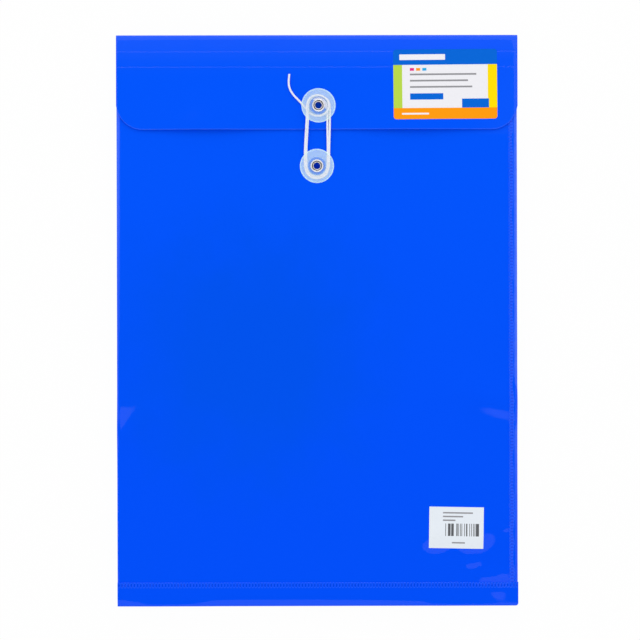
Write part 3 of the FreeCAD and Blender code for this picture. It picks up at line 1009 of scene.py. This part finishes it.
@dataclass(frozen=True)
class Weld:
    """A row of hot-pressed oval dents, each with a raised lip."""

    pitch: float = 1.97
    half_along: float = 0.56
    half_across: float = 1.25
    depth: float = 0.04
    lip: float = 0.03
    fade: float = 0.35

    def relief(self, along: Array, across: Array) -> tuple[Array, Array]:
        """The dents: with q the oval distance from the nearest, a lip ring less a bowl.

        The press held unevenly, so they fade by 1 + fade times a slow wave along the row.

        Args:
            along: The place along the row.
            across: The distance from the row's middle.

        Returns:
            The height to add, and the same from 0 in a dent over 0.5 to 1 on a lip.
        """
        nearest = (along / self.pitch + 0.5) % 1.0 - 0.5
        oval = np.hypot(nearest * self.pitch / self.half_along, across / self.half_across)
        waver = np.sin(along / 4.1) * np.sin(along / 9.7 + 1.3)
        bowl = np.exp(-(oval**8)) * (1 + self.fade * waver) / (1 + self.fade)
        ring = np.exp(-(((oval - 1.25) / 0.22) ** 2))
        return self.lip * ring - self.depth * bowl, 0.5 + 0.5 * ring - 0.5 * bowl


# Distances from a cut edge at which a curled sheet has lines of its own.
FLAP_CURL = np.array([0.0, 0.08, 0.2, 0.4, 0.8, 1.6])
LAP_CURL = np.array([0.06, 0.15])


@dataclass
class EnvelopeSheet:
    """The one folded and welded sheet: pocket front, folds, laps and the scored flap.

    The front's grid is fine where its swells are: left of left_swells, right of right_swells,
    below low_swells and over the span of side_swells. A roll is the width over which a face
    rounds off into a fold, and a spread is how far the outline leans past the solids.
    """

    finish: bpy.types.Material
    back_finish: bpy.types.Material
    gauge: float = 0.3
    bend: float = 1.6
    weld: Weld = field(default_factory=Weld)
    side_weld_inset: float = 3.9
    bottom_weld_rise: float = 13.4
    left_spread: float = 0.28
    right_spread: float = 0.12
    top_spread: float = 0.22
    side_lean: float = 0.088
    eyelet_hole: float = 2.25
    flap_corner: float = 16.5
    bottom_corner: float = 1.6
    crease_width: float = 0.9
    crease_depth: float = 0.08
    hem_fall: float = 0.12
    split: float = 165.5
    cut_curl: float = 0.12
    curl_width: float = 0.3
    coarse_step: float = 2.4
    fine_step: float = 1.1
    left_swells: float = -100.0
    right_swells: float = 62.0
    low_swells: float = -120.0
    side_swells: Span = (-75.0, -46.0)
    left_roll: float = 7.0
    right_roll: float = 2.5
    bottom_roll: float = 5.0
    end_roll: float = 4.5
    end_fall: float = 0.13
    sink_start: float = 0.6
    sink_width: float = 0.4
    corner_turn: float = 84.0

    def __post_init__(self) -> None:
        """Reads the levels and edges that the frame gives."""
        front_low, front_high = node_box("front_panel")
        self.front_left, self.front_bottom, _ = front_low
        self.front_right, self.mouth, self.front_top = front_high
        lap_low, lap_high = node_box("bottom_lap")
        self.left, self.right = lap_low[0], lap_high[0]
        self.bottom_lap_edge, self.lap_top = lap_high[1], lap_high[2]
        self.right_lap_edge = node_box("right_lap")[0][0]
        self.outer_right = node_box("right_fold")[1][0]
        self.bottom = node_box("bottom_fold")[0][1]
        strip_low, strip_high = node_box("flap_strip_1")
        self.first_crease, self.fold_start, self.flap_top = strip_low[1], *strip_high[1:]
        self.second_crease = node_box("flap_strip_2")[0][1]
        self.flap_edge = node_box("flap_panel")[0][1]
        self.top = node_box("top_fold")[1][1]
        self.flap_left = self.left - self.left_spread
        self.flap_right = self.right + 0.5 * self.right_spread

    def front_height(self, x: Array, y: Array) -> Array:
        """The height of the pocket front's upper face: its level and its swells."""
        return self.front_top + bulge(FRONT_SWELLS, x, y)

    def side_fall(self, y: Array) -> Array:
        """The slope at which the front rolls into the side folds: less low down, and wavering."""
        slope = np.interp(y, (-90.0, 0.0, 120.0), (0.012, 0.05, 0.058))
        return slope + 0.008 * np.sin(y / 9.0 + 1.0)

    def bottom_fall(self, x: Array) -> Array:
        """The slope at which the bottom lap rolls into its fold, read off between stations."""
        stations = (-127, -115, -105, -90, -78, -60, -10, 40, 65, 78, 95, 108, 127)
        slopes = (0.10, 0.06, 0.02, 0.02, 0.05, 0.11, 0.123, 0.10, 0.078, 0.03, 0.03, 0.04, 0.05)
        return np.interp(x, stations, slopes)

    @staticmethod
    def roll(distance: Array, slope: Array, width: float) -> Array:
        """How far a face has sunk near its edge: slope / 2 width times (width - distance)^2."""
        inside = np.clip(width - distance, 0.0, None)
        return slope * inside**2 / (2 * width)

    def curl(self, distance: Array) -> Array:
        """How far a cut edge is pressed down: cut_curl times exp(-distance / curl_width)."""
        return self.cut_curl * np.exp(-distance / self.curl_width)

    def sheet(self, name: str, surface: Surface) -> bpy.types.Object:
        """A piece of the sheet, a gauge thick under its upper surface."""
        return surface.thickened(self.gauge).build(name, self.finish)

    def build_front(self) -> bpy.types.Object:
        """The pocket's front and the left edge that it comes round, as one sheet."""
        low, high = node_box("lower_eyelet")
        x, y = (low[:2] + high[:2]) / 2
        hole = Hole(x, y, self.eyelet_hole)
        roll_step = self.left_roll / 10
        x_lines = merged(
            hole.lines(self.front_left, self.front_right, x, self.coarse_step),
            self.front_left + roll_step * np.arange(1, 10),
            np.arange(self.front_left + self.left_roll, self.left_swells, self.fine_step),
            np.arange(self.right_swells, self.front_right, self.fine_step),
        )
        y_lines = merged(
            hole.lines(self.front_bottom, self.mouth, y, self.coarse_step),
            np.arange(self.front_bottom + 1.0, self.low_swells, self.fine_step),
            np.arange(*self.side_swells, self.fine_step),
        )
        flat, faces = flat_grid(x_lines, y_lines, hole)
        distance = flat[:, 0] - self.front_left
        sunk = self.roll(distance, self.side_fall(flat[:, 1]), self.left_roll)
        points = np.column_stack([flat, self.front_height(*flat.T) - sunk])

        edge = np.isclose(flat[:, 0], self.front_left)
        order = np.flatnonzero(edge)[np.argsort(flat[edge, 1])]
        start = points[order]
        fall = self.side_fall(start[:, 1])
        reach = self.front_left - self.left + 0.21 + 0.0011 * start[:, 1]
        power = np.interp(start[:, 1], (-80.0, -10.0, 60.0), (7.0, 3.6, 2.6))
        out, height = rounded_edge(start[:, 2], reach, fall, self.bend, 9, power)
        places = np.broadcast_arrays(self.front_left - out, start[:, 1], height)
        fold = np.stack(places, axis=-1)[1:]
        count = len(start)
        later = len(points) + np.arange(fold.size // 3).reshape(-1, count)
        numbers = np.concatenate([order[None], later])
        fold_faces = numbers.ravel()[grid_faces(*numbers.shape)]
        points = np.concatenate([points, fold.reshape(-1, 3)])
        faces = np.concatenate([faces, fold_faces])
        made = self.sheet("pocket_front_sheet", Surface(points, faces))
        return self.ride(made, "pocket", "front_panel", "left_fold")

    def build_right_lap(self) -> bpy.types.Object:
        """The right edge and its narrow welded lap, which sinks under the bottom lap."""
        sink_start = self.bottom_lap_edge - self.sink_start
        rows = spaced((self.front_bottom, sink_start, self.mouth), 0.25)
        columns = spaced((self.right_lap_edge, self.front_right), 0.3)
        x, y = np.meshgrid(merged(columns, self.right_lap_edge + LAP_CURL), rows)
        slope = self.side_fall(y)
        level = self.gauge * np.clip((y - sink_start) / self.sink_width, 0.0, 1.0)
        height = self.front_height(x, y) + level
        height -= self.roll(self.front_right - x, slope, self.right_roll)
        height -= self.curl(x - self.right_lap_edge)
        lean, lean_slope = self.lean(x - self.right_lap_edge, y)
        height -= lean
        across = x - (self.right - self.side_weld_inset)
        dents, marks = self.weld.relief(y, across)
        shown = (y > self.bottom_lap_edge) * 1.0
        height += dents * shown
        marks = 0.5 + (marks - 0.5) * shown
        reach = self.outer_right - self.front_right + self.right_spread
        fall = lean_slope[:, -1] + slope[:, -1]
        out, fold_height = rounded_edge(height[:, -1], reach, fall, self.bend, 7, 4.0)
        marks = np.concatenate([marks, np.full((len(rows), len(out) - 1), 0.5)], axis=1)
        x = np.concatenate([x, self.front_right + out[1:].T], axis=1)
        height = np.concatenate([height, fold_height[1:].T], axis=1)
        surface = grid_surface(x, rows[:, None], height, weld=marks.ravel())
        made = self.sheet("right_lap_sheet", surface)
        return self.ride(made, "pocket", "right_lap", "right_fold")

    def lean(self, distance: Array, y: Array) -> tuple[Array, Array]:
        """How far the right lap leans down from its cut edge, the slope growing and wavering.

        The slope is side_lean + 0.008 distance + a wave along Y, and the fall its integral.

        Args:
            distance: The distance from the cut edge.
            y: The place along the lap.

        Returns:
            The fall and the slope.
        """
        wave = 0.016 * np.sin(y / 2.9) * np.sin(y / 17.0 + 0.6) + 0.012 * np.sin(y / 8.3)
        start = self.side_lean + wave
        return start * distance + 0.004 * distance**2, start + 0.008 * distance

    def build_bottom_lap(self) -> bpy.types.Object:
        """The bottom edge and its wide welded lap."""
        columns = spaced((self.left, self.right), 0.25)
        weld_y = self.bottom + self.bottom_weld_rise
        rows = spaced((self.front_bottom, weld_y - 2.2, self.bottom_lap_edge), 0.3)
        below = spaced((self.front_bottom, weld_y - 2.2), 0.9)
        rows = merged(rows[rows > weld_y - 2.3], below, self.bottom_lap_edge - LAP_CURL)
        x, y = np.meshgrid(columns, rows)
        slope = self.bottom_fall(x)
        height = self.front_height(x, y) + self.gauge
        height -= self.roll(y - self.front_bottom, slope, self.bottom_roll)
        height -= self.curl(self.bottom_lap_edge - y)
        dents, marks = self.weld.relief(x, y - weld_y)
        height += dents
        corner = np.clip(columns - self.right + self.bottom_corner, 0.0, None)
        cut_off = self.bottom_corner - np.sqrt(self.bottom_corner**2 - corner**2)
        reach = self.front_bottom - self.bottom - 0.1 * (1 + columns / self.right) - cut_off
        out, fold_height = rounded_edge(height[0], reach, slope[0], self.bend, 7, 8.0)
        marks = np.concatenate([np.full((len(out) - 1, len(columns)), 0.5), marks])
        y = np.concatenate([(self.front_bottom - out)[:0:-1], y])
        height = np.concatenate([fold_height[:0:-1], height])
        surface = grid_surface(columns, y, height, weld=marks.ravel())
        made = self.sheet("bottom_lap_sheet", surface)
        return self.ride(made, "pocket", "bottom_lap", "bottom_fold")

    def flap_height(self, x: Array, y: Array) -> Array:
        """The height of the flap's upper face: its level, swells, creases and fall to the fold."""
        height = self.flap_top + bulge(FLAP_SWELLS, x, y)
        for crease in (self.first_crease, self.second_crease):
            inside = np.clip(np.abs(y - crease) / (self.crease_width / 2), 0.0, 1.0)
            height = height - self.crease_depth * (0.5 + 0.5 * np.cos(math.pi * inside))
        hem = np.clip((y - self.first_crease) / (self.fold_start - self.first_crease), 0.0, 1.0)
        height = height - self.hem_fall * hem**2
        return height - self.roll(self.right - x, self.end_fall, self.end_roll)

    def crease_lines(self, crease: float) -> Array:
        """The rows that a crease's groove needs."""
        return crease + self.crease_width * np.linspace(-0.5, 0.5, 9)

    def build_top_fold(self) -> bpy.types.Object:
        """The half round over the mouth, whose section is two quarter ellipses."""
        columns = spaced((self.flap_left, self.flap_right), 4.0)
        height = self.flap_height(columns, np.full_like(columns, self.fold_start))
        slope = np.full_like(columns, 2 * self.hem_fall / (self.fold_start - self.first_crease))
        bend = height / 2
        reach = self.top - self.fold_start + self.top_spread * (1 - columns / 400)
        out, high = rounded_edge(height, reach, slope, bend, 12, 4.6)
        made = self.sheet("top_fold_sheet", grid_surface(columns, self.fold_start + out, high))
        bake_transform(made)
        return self.name(made, "top_fold")

    def build_flap_hem(self) -> bpy.types.Object:
        """The flap from the top fold past the first crease to half way to the second."""
        rows = spaced((self.split, self.first_crease - self.crease_width, self.fold_start), 1.0)
        rows = merged(rows, self.crease_lines(self.first_crease))
        x, y = np.meshgrid(self.edge_lines(3.0), rows)
        height = self.flap_height(x, y) - self.side_curl(x)
        made = self.sheet("flap_hem_sheet", grid_surface(x, y, height))
        self.bend_at(made)
        return self.name(made, "flap_strip_1")

    def edge_lines(self, step: float) -> Array:
        """The flap's columns, closer at its cut ends."""
        inner = spaced((self.left + 3.0, self.right - 3.0), step)
        left_end, right_end = self.flap_left + FLAP_CURL, self.flap_right - FLAP_CURL[::-1]
        return np.concatenate([left_end, inner, right_end])

    def side_curl(self, x: Array) -> Array:
        """How far the flap's cut ends are pressed down, by the distance from the nearer one."""
        return self.curl(np.minimum(x - self.flap_left, self.flap_right - x))

    def build_flap(self) -> bpy.types.Object:
        """The flap from half way between the creases down to its round-cornered cut edge."""
        low, high = node_box("upper_eyelet")
        x, y = (low[:2] + high[:2]) / 2
        hole = Hole(x, y, self.eyelet_hole)
        corner_x = self.right - self.flap_corner
        turn = np.radians(np.linspace(0.0, self.corner_turn, 22)[1:])
        end = corner_x + self.flap_corner * np.sin(turn)
        x_lines = hole.lines(-corner_x, corner_x, x, self.coarse_step)
        x_lines = np.concatenate([-end[::-1], x_lines, end])
        x_lines[[0, -1]] = self.flap_left, self.flap_right
        corner_y = self.flap_edge + self.flap_corner
        y_lines = merged(
            self.flap_edge + FLAP_CURL,
            hole.lines(self.flap_edge + 3.0, self.split, y, 2.0),
            self.crease_lines(self.second_crease),
        )
        flat, faces = flat_grid(x_lines, y_lines, hole)
        beyond = np.clip(np.abs(flat[:, 0]) - corner_x, 0.0, self.flap_corner * math.sin(turn[-1]))
        share = np.sqrt(self.flap_corner**2 - beyond**2) / self.flap_corner
        below = flat[:, 1] < corner_y
        flat[below, 1] = corner_y - (corner_y - flat[below, 1]) * share[below]
        edge = corner_y - self.flap_corner * share
        curl = np.maximum(self.curl(flat[:, 1] - edge), self.side_curl(flat[:, 0]))
        points = np.column_stack([flat, self.flap_height(*flat.T) - curl])
        # Painted highlight along the cut edge: the weld attribute rises towards a lip's pale
        # colour.
        rim = 0.5 + 0.45 * np.exp(-(flat[:, 1] - edge) / 0.4)
        made = self.sheet("flap_sheet", Surface(points, faces, weld=rim))
        self.bend_at(made)
        return self.name(made, "flap_strip_2", "flap_panel")

    def bend_at(self, made: bpy.types.Object) -> None:
        """Bakes the transform of a piece that crosses the crease between two bodies, without
        bending it.

        Args:
            made: The piece, which crosses the crease.
        """
        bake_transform(made)

    @staticmethod
    def name(made: bpy.types.Object, *nodes: str) -> bpy.types.Object:
        """Hides the nodes that a piece of the sheet stands for."""
        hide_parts(*nodes)
        return made

    @classmethod
    def ride(cls, made: bpy.types.Object, body: str, *nodes: str) -> bpy.types.Object:
        """Attaches a piece of the sheet to a body and hides the nodes that it stands for."""
        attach(made, body)
        return cls.name(made, *nodes)

    def build(self) -> None:
        """Builds every piece of the sheet, and dresses the back, which stays as it is."""
        self.build_front()
        self.build_right_lap()
        self.build_bottom_lap()
        self.build_top_fold()
        self.build_flap_hem()
        self.build_flap()
        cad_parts["back_panel"].material_slots[0].material = self.back_finish


# The buttons


@dataclass
class RivetedButton:
    """A turning clear disc over a washer, riveted through the sheet by a rolled eyelet."""

    side: str
    sheet_body: str
    disc_body: str
    holds_string: bool = False
    washer: WasherFinish = field(default_factory=WasherFinish)
    metal: MetalFinish = field(default_factory=MetalFinish)
    disc_finish: DiscFinish = field(default_factory=DiscFinish)
    edge: float = 0.25
    bead: float = 0.05
    disc_bore: float = 2.35
    barrel: float = 2.25
    lip_reach: float = 0.28
    flange_middle: float = 3.62
    flange_reach: float = 0.45
    groove: Span = (2.76, 3.05)
    groove_depth: float = 0.42
    clinch_middle: float = 3.0
    clinch_reach: float = 0.4
    clinch_height: float = 0.5
    clinch_round: float = 0.35

    def __post_init__(self) -> None:
        """Reads the disc's and the eyelet's places from the frame."""
        self.disc_low, self.disc_high = node_box(f"{self.side}_button")
        self.eyelet_low, self.eyelet_high = node_box(f"{self.side}_eyelet")
        self.x, self.y = (self.disc_low[:2] + self.disc_high[:2]) / 2

    def build_disc(self) -> bpy.types.Object:
        """The disc: a bored plate with softened edges, a low bead at its rim and a raised hub."""
        radius = (self.disc_high[0] - self.disc_low[0]) / 2
        low, high = self.disc_low[2], self.disc_high[2]
        bore, hub = self.disc_bore, self.disc_finish.hub_radius
        soft = (self.edge, self.edge)
        top = high - self.bead
        profile = np.concatenate(
            [
                [(bore, low + 0.05), (bore, high - 0.08), (bore + 0.08, high)],
                [(hub - 0.5, high), (hub - 0.1, high - 0.01), (hub + 0.3, top)],
                [((hub + radius) / 2, top), (radius - 1.5, top)],
                arc((radius - 0.9, top), (0.5, self.bead), 160.0, 20.0, 7),
                arc((radius - self.edge, top - self.edge), soft, 90.0, 0.0, 7),
                arc((radius - self.edge, low + self.edge), soft, 0.0, -90.0, 7),
                [(radius - 2.0, low), (hub, low), (bore + 0.05, low)],
            ]
        )
        name = f"{self.side}_disc"
        material = self.disc_finish.material(name, self.x, self.y)
        made = lathe(profile, self.x, self.y).build(name, material)
        made.visible_shadow = False
        made.visible_diffuse = False
        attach(made, self.disc_body)
        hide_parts(f"{self.side}_button")
        return made

    def build_eyelet(self) -> bpy.types.Object:
        """The eyelet: barrel, rolled lip and flange with a groove between, and a rolled clinch."""
        base, top = self.eyelet_low[2], self.eyelet_high[2]
        bore, barrel, bend = self.metal.bore, self.barrel, self.clinch_round
        flange_base = self.disc_high[2] + 0.05
        clinch_top, groove_floor = base + self.clinch_height, top - self.groove_depth
        rise, reach = top - flange_base, self.lip_reach
        groove_start, groove_end = self.groove
        clinch_end = self.clinch_middle + self.clinch_reach
        clinch = (self.clinch_reach, self.clinch_height)
        profile = np.concatenate(
            [
                [(bore, base + bend), (bore, flange_base - 1.0), (bore, flange_base)],
                arc((bore + reach, flange_base), (reach, rise * 0.78), 180.0, 15.0, 12),
                [(groove_start, groove_floor), (groove_end, groove_floor)],
                arc((self.flange_middle, flange_base), (self.flange_reach, rise), 165.0, 0.0, 12),
                [(barrel + 0.3, flange_base), (barrel, flange_base - 0.02)],
                [(barrel, clinch_top), (clinch_end, clinch_top)],
                arc((self.clinch_middle, clinch_top), clinch, 0.0, -90.0, 5),
                arc((bore + bend, base + bend), (bend, bend), 270.0, 190.0, 5),
            ]
        )
        name = f"{self.side}_eyelet_metal"
        made = lathe(profile, self.x, self.y).build(name, self.metal.material(name, self.x, self.y))
        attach(made, self.sheet_body)
        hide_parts(f"{self.side}_eyelet")
        return made

    def build(self) -> None:
        """Builds the disc and the eyelet, and dresses the washer, which stays as it is."""
        self.build_disc()
        self.build_eyelet()
        material = self.washer.material(f"{self.side}_washer", self.x, self.y, self.holds_string)
        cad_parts[f"{self.side}_spacer"].material_slots[0].material = material


# The string

STRING_ROUTE = (
    (0.00392, 0.13595, 0.00750),
    (0.00392, 0.13472, 0.00750),
    (0.00218, 0.13297, 0.00750),
    (-0.00028, 0.13297, 0.00750),
    (-0.00203, 0.13472, 0.00750),
    (-0.00203, 0.13718, 0.00750),
    (-0.00028, 0.13892, 0.00750),
    (0.00413, 0.13892, 0.00750),
    (0.00612, 0.13756, 0.00750),
    (0.00646, 0.13446, 0.00750),
    (0.00652, 0.12881, 0.00750),
    (0.00655, 0.12120, 0.00750),
    (0.00680, 0.10815, 0.00635),
    (0.00640, 0.09531, 0.00630),
    (0.00259, 0.09150, 0.00630),
    (-0.00279, 0.09150, 0.00630),
    (-0.00666, 0.09531, 0.00630),
    (-0.00683, 0.10815, 0.00635),
    (-0.00602, 0.12120, 0.00760),
    (-0.00555, 0.12980, 0.00880),
    (-0.00555, 0.13864, 0.00870),
    (-0.00162, 0.14215, 0.00760),
    (0.00356, 0.14225, 0.00750),
    (0.00815, 0.13893, 0.00750),
    (0.00812, 0.12875, 0.00750),
    (0.00808, 0.12120, 0.00750),
    (0.00765, 0.10815, 0.00650),
    (0.00765, 0.09479, 0.00650),
    (0.00311, 0.09025, 0.00650),
    (-0.00331, 0.09025, 0.00650),
    (-0.00785, 0.09479, 0.00650),
    (-0.00779, 0.10815, 0.00650),
    (-0.00693, 0.12120, 0.00820),
    (-0.00640, 0.12980, 0.00950),
    (-0.00635, 0.13910, 0.00950),
    (-0.00187, 0.14275, 0.00945),
    (0.00356, 0.14225, 0.00940),
    (0.00755, 0.13868, 0.00940),
    (0.00745, 0.13326, 0.00940),
    (0.00356, 0.12965, 0.00940),
    (-0.00125, 0.12960, 0.00880),
    (-0.00425, 0.13105, 0.00760),
    (-0.00665, 0.13405, 0.00743),
    (-0.01105, 0.13905, 0.00743),
    (-0.01535, 0.14325, 0.00743),
    (-0.01765, 0.14765, 0.00743),
    (-0.01800, 0.15175, 0.00743),
    (-0.01745, 0.15615, 0.00743),
)


@dataclass
class TieString:
    """The white string: end loop, two turns round both washers and a free end."""

    finish: bpy.types.Material
    diameter: float = 1.3
    length: float = 311.8

    def build(self) -> bpy.types.Object:
        """One smooth spline whose control points are the route's."""
        curve = bpy.data.curves.new("tie_string", "CURVE")
        curve.dimensions = "3D"
        curve.resolution_u = 10
        curve.bevel_depth = self.diameter * MM / 2
        curve.bevel_resolution = 5
        curve.use_fill_caps = True
        spline = curve.splines.new("NURBS")
        spline.points.add(len(STRING_ROUTE) - 1)
        for point, place in zip(spline.points, STRING_ROUTE):
            point.co = (*place, 1.0)
        spline.order_u = 3
        spline.use_endpoint_u = True
        curve.materials.append(self.finish)
        made = linked("tie_string", curve)
        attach(made, "flap")
        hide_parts("string_winding", "string_tail")
        return made


# The stickers


@dataclass
class Sticker:
    """A thin sticker that lies on a sheet and follows its height."""

    node: str
    width: float
    height: float
    corner: float
    tilt: float
    finish: bpy.types.Material
    ground: Callable[[Array, Array], Array]
    slot: str
    lift: float = 0.0
    thickness: float = 0.1
    gap: float = 0.01

    def __post_init__(self) -> None:
        """Reads the sticker's middle from the frame, and moves it up the sheet by lift."""
        low, high = node_box(self.node)
        self.x, self.y = (low[:2] + high[:2]) / 2 + (0.0, self.lift)
        self.angle = math.radians(self.tilt)

    def columns(self, step: float) -> tuple[Array, Array]:
        """The columns' places across the sticker and each one's half height.

        In the corners the half height is the side's plus sqrt(r^2 - beyond^2).

        Args:
            step: The greatest step between columns.

        Returns:
            The places and the half heights.
        """
        flat = self.width / 2 - self.corner
        turn = np.radians(np.linspace(0.0, 90.0, 8)[1:]) if self.corner else np.array([])
        end = flat + self.corner * np.sin(turn)
        places = np.concatenate([-end[::-1], spaced((-flat, flat), step), end])
        beyond = np.clip(np.abs(places) - flat, 0.0, self.corner)
        halves = self.height / 2 - self.corner + np.sqrt(self.corner**2 - beyond**2)
        return places, halves

    def part(
        self, name: str, low_y: float | None, high_y: float | None, step: float = 1.6
    ) -> bpy.types.Object:
        """The part of the sticker between two straight lines across the sheet.

        Args:
            name: The piece's name.
            low_y: The Y where it starts, or None for the sticker's own lower edge.
            high_y: The Y where it ends, or None for the sticker's own upper edge.
            step: The greatest step of the grid.

        Returns:
            The piece, with its print's UV map.
        """
        places, halves = self.columns(step)
        low = -halves if low_y is None else self.along(low_y, places)
        high = halves if high_y is None else self.along(high_y, places)
        rows = max(2, math.ceil((high - low).max() / (step / 2)))
        share = np.linspace(0.0, 1.0, rows + 1)[:, None]
        up = low + (high - low) * share
        across = np.broadcast_to(places, up.shape)
        x = self.x + across * math.cos(self.angle) - up * math.sin(self.angle)
        y = self.y + across * math.sin(self.angle) + up * math.cos(self.angle)
        z = self.ground(x, y) + self.thickness
        prints = np.stack([across / self.width + 0.5, up / self.height + 0.5], axis=-1)
        surface = grid_surface(x, y, z, print_map=prints.reshape(-1, 2))
        made = surface.thickened(self.thickness - self.gap).build(name, self.finish)
        return made

    def along(self, y: float, places: Array) -> Array:
        """Where a line of constant Y crosses each column."""
        return (y - self.y - places * math.sin(self.angle)) / math.cos(self.angle)


# The studio


@dataclass(frozen=True)
class Studio:
    """A white floor in a light tent that has a dark opening round the camera.

    The picture is frame_width wide at subject_height, round the middle. The key light's size
    and place are in metres, and it points at the frame's X axis.
    """

    lens: float = 100.0
    sensor: float = 36.0
    frame_width: float = 406.5
    middle: tuple[float, float] = (1.65, 0.48)
    subject_height: float = 3.3
    roll: float = -0.11
    tent: float = 0.98
    opening: float = 0.02
    opening_angle: float = 15.5
    opening_soft: float = 0.6
    key_power: float = 4.0
    key_size: Span = (1.6, 0.9)
    key_place: tuple[float, float, float] = (-0.1, 1.25, 0.85)
    floor_drop: float = 4.7
    floor_half: float = 3000.0
    floor_paper: Colour = (0.86, 0.86, 0.86)
    floor_glow: float = 0.97

    def build_camera(self) -> None:
        """The camera straight above, at the distance where the frame has its width."""
        camera = bpy.data.cameras.new("camera")
        camera.lens = self.lens
        camera.sensor_width = self.sensor
        camera.clip_start = 0.01
        distance = self.frame_width * self.lens / self.sensor
        made = linked("camera", camera)
        x, y = self.middle
        made.location = (x * MM, y * MM, (self.subject_height + distance) * MM)
        made.rotation_euler = (0.0, 0.0, math.radians(self.roll))
        bpy.context.scene.camera = made

    def build_floor(self) -> None:
        """A wide floor, white to the camera and in glossy things, which keeps shadows.

        It lies as low as the buttons of the flap reach when the flap is laid right back.
        """
        half = self.floor_half
        corners = np.array([(-half, -half), (half, -half), (half, half), (-half, half)])
        points = np.column_stack([corners, np.full(4, -self.floor_drop)])
        material, graph = new_material("white_floor")
        rays = ("Is Camera Ray", "Is Glossy Ray", "Is Transmission Ray")
        seen = [graph.node("ShaderNodeLightPath", output=ray) for ray in rays]
        share = self.floor_glow * seen[0].greatest(seen[1]).greatest(seen[2])
        paper = graph.principled(Base_Color=self.floor_paper, Roughness=0.9)
        glow = {"Color": graph.rgba(WHITE), "Strength": 1.0}
        white = graph.node("ShaderNodeEmission", values=glow)
        graph.finish(graph.node("ShaderNodeMixShader", values=(share, paper, white)))
        floor = Surface(points, np.array([[0, 1, 2, 3]])).build("floor", material)

    def build_tent(self) -> None:
        """The world: white to the camera, else an even tent with its dark opening overhead."""
        world = bpy.data.worlds.new("tent")
        graph = Graph(world)
        direction = graph.node("ShaderNodeTexCoord", output="Generated")
        upward = graph.part(direction, "Z")
        outer = math.cos(math.radians(self.opening_angle + self.opening_soft))
        inner = math.cos(math.radians(self.opening_angle - self.opening_soft))
        overhead = upward.ramp(outer, inner)
        camera_ray = graph.node("ShaderNodeLightPath", output="Is Camera Ray")
        level = self.tent + (self.opening - self.tent) * overhead
        strength = camera_ray + (1.0 - camera_ray) * level
        sky = {"Color": graph.rgba(WHITE), "Strength": strength}
        graph.finish(graph.node("ShaderNodeBackground", values=sky), "ShaderNodeOutputWorld")
        bpy.context.scene.world = world

    def build_key(self) -> None:
        """A soft box beyond the top fold, low enough to shade below the flap's edge."""
        light = bpy.data.lights.new("key", "AREA")
        light.shape = "RECTANGLE"
        light.size, light.size_y = self.key_size
        light.energy = self.key_power
        made = linked("key", light)
        made.location = self.key_place
        _, beyond, above = self.key_place
        made.rotation_euler = (-math.atan2(beyond, above), 0.0, 0.0)

    def build(self) -> None:
        """Builds the camera, the floor and the lights, and sets the plain view transform."""
        bpy.context.scene.view_settings.view_transform = "Standard"
        self.build_camera()
        self.build_floor()
        self.build_tent()
        self.build_key()


def build_stickers(sheet: EnvelopeSheet) -> None:
    """The flap's sticker, in a piece on each side of the flap's split, and the front's.

    Args:
        sheet: The envelope's sheet, which they lie on.
    """
    finish = FLAP_PRINT.material()
    printed = Sticker(
        node="print_label",
        width=65.7,
        height=44.2,
        corner=1.8,
        tilt=0.45,
        finish=finish,
        ground=sheet.flap_height,
        slot="flap_sticker",
        lift=0.3,
    )
    upper = printed.part("flap_sticker_top", sheet.split, None, 1.2)
    sheet.bend_at(upper)
    lower = printed.part("flap_sticker", None, sheet.split)
    sheet.bend_at(lower)
    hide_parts("print_label")
    finish = FRONT_PRINT.material()
    plain = Sticker(
        node="barcode_label",
        width=34.5,
        height=26.2,
        corner=0.0,
        tilt=-1.1,
        finish=finish,
        ground=sheet.front_height,
        slot="front_sticker",
    )
    front = plain.part("front_sticker", None, None)
    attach(front, "pocket")
    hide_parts("barcode_label")


def main() -> None:
    """Builds the studio and every piece in order."""
    logging.basicConfig(level=logging.INFO, format="%(name)s: %(message)s")
    Studio().build()
    blue = SheetFinish()
    sheet = EnvelopeSheet(blue.material(), blue.material("blue_polypropylene_back", glowing=True))
    sheet.build()
    upper = RivetedButton("upper", "flap", "upper_disc", holds_string=True)
    # The lower eyelet's bore is painted near black: painted shade inside it.
    shaded_bore_metal = MetalFinish(barrel=(0.06, 0.05, 0.06))
    lower = RivetedButton("lower", "pocket", "lower_disc", metal=shaded_bore_metal)
    upper.build()
    lower.build()
    TieString(StringFinish().material([(upper.x, upper.y), (lower.x, lower.y)])).build()
    build_stickers(sheet)


if __name__ == "__main__":
    main()
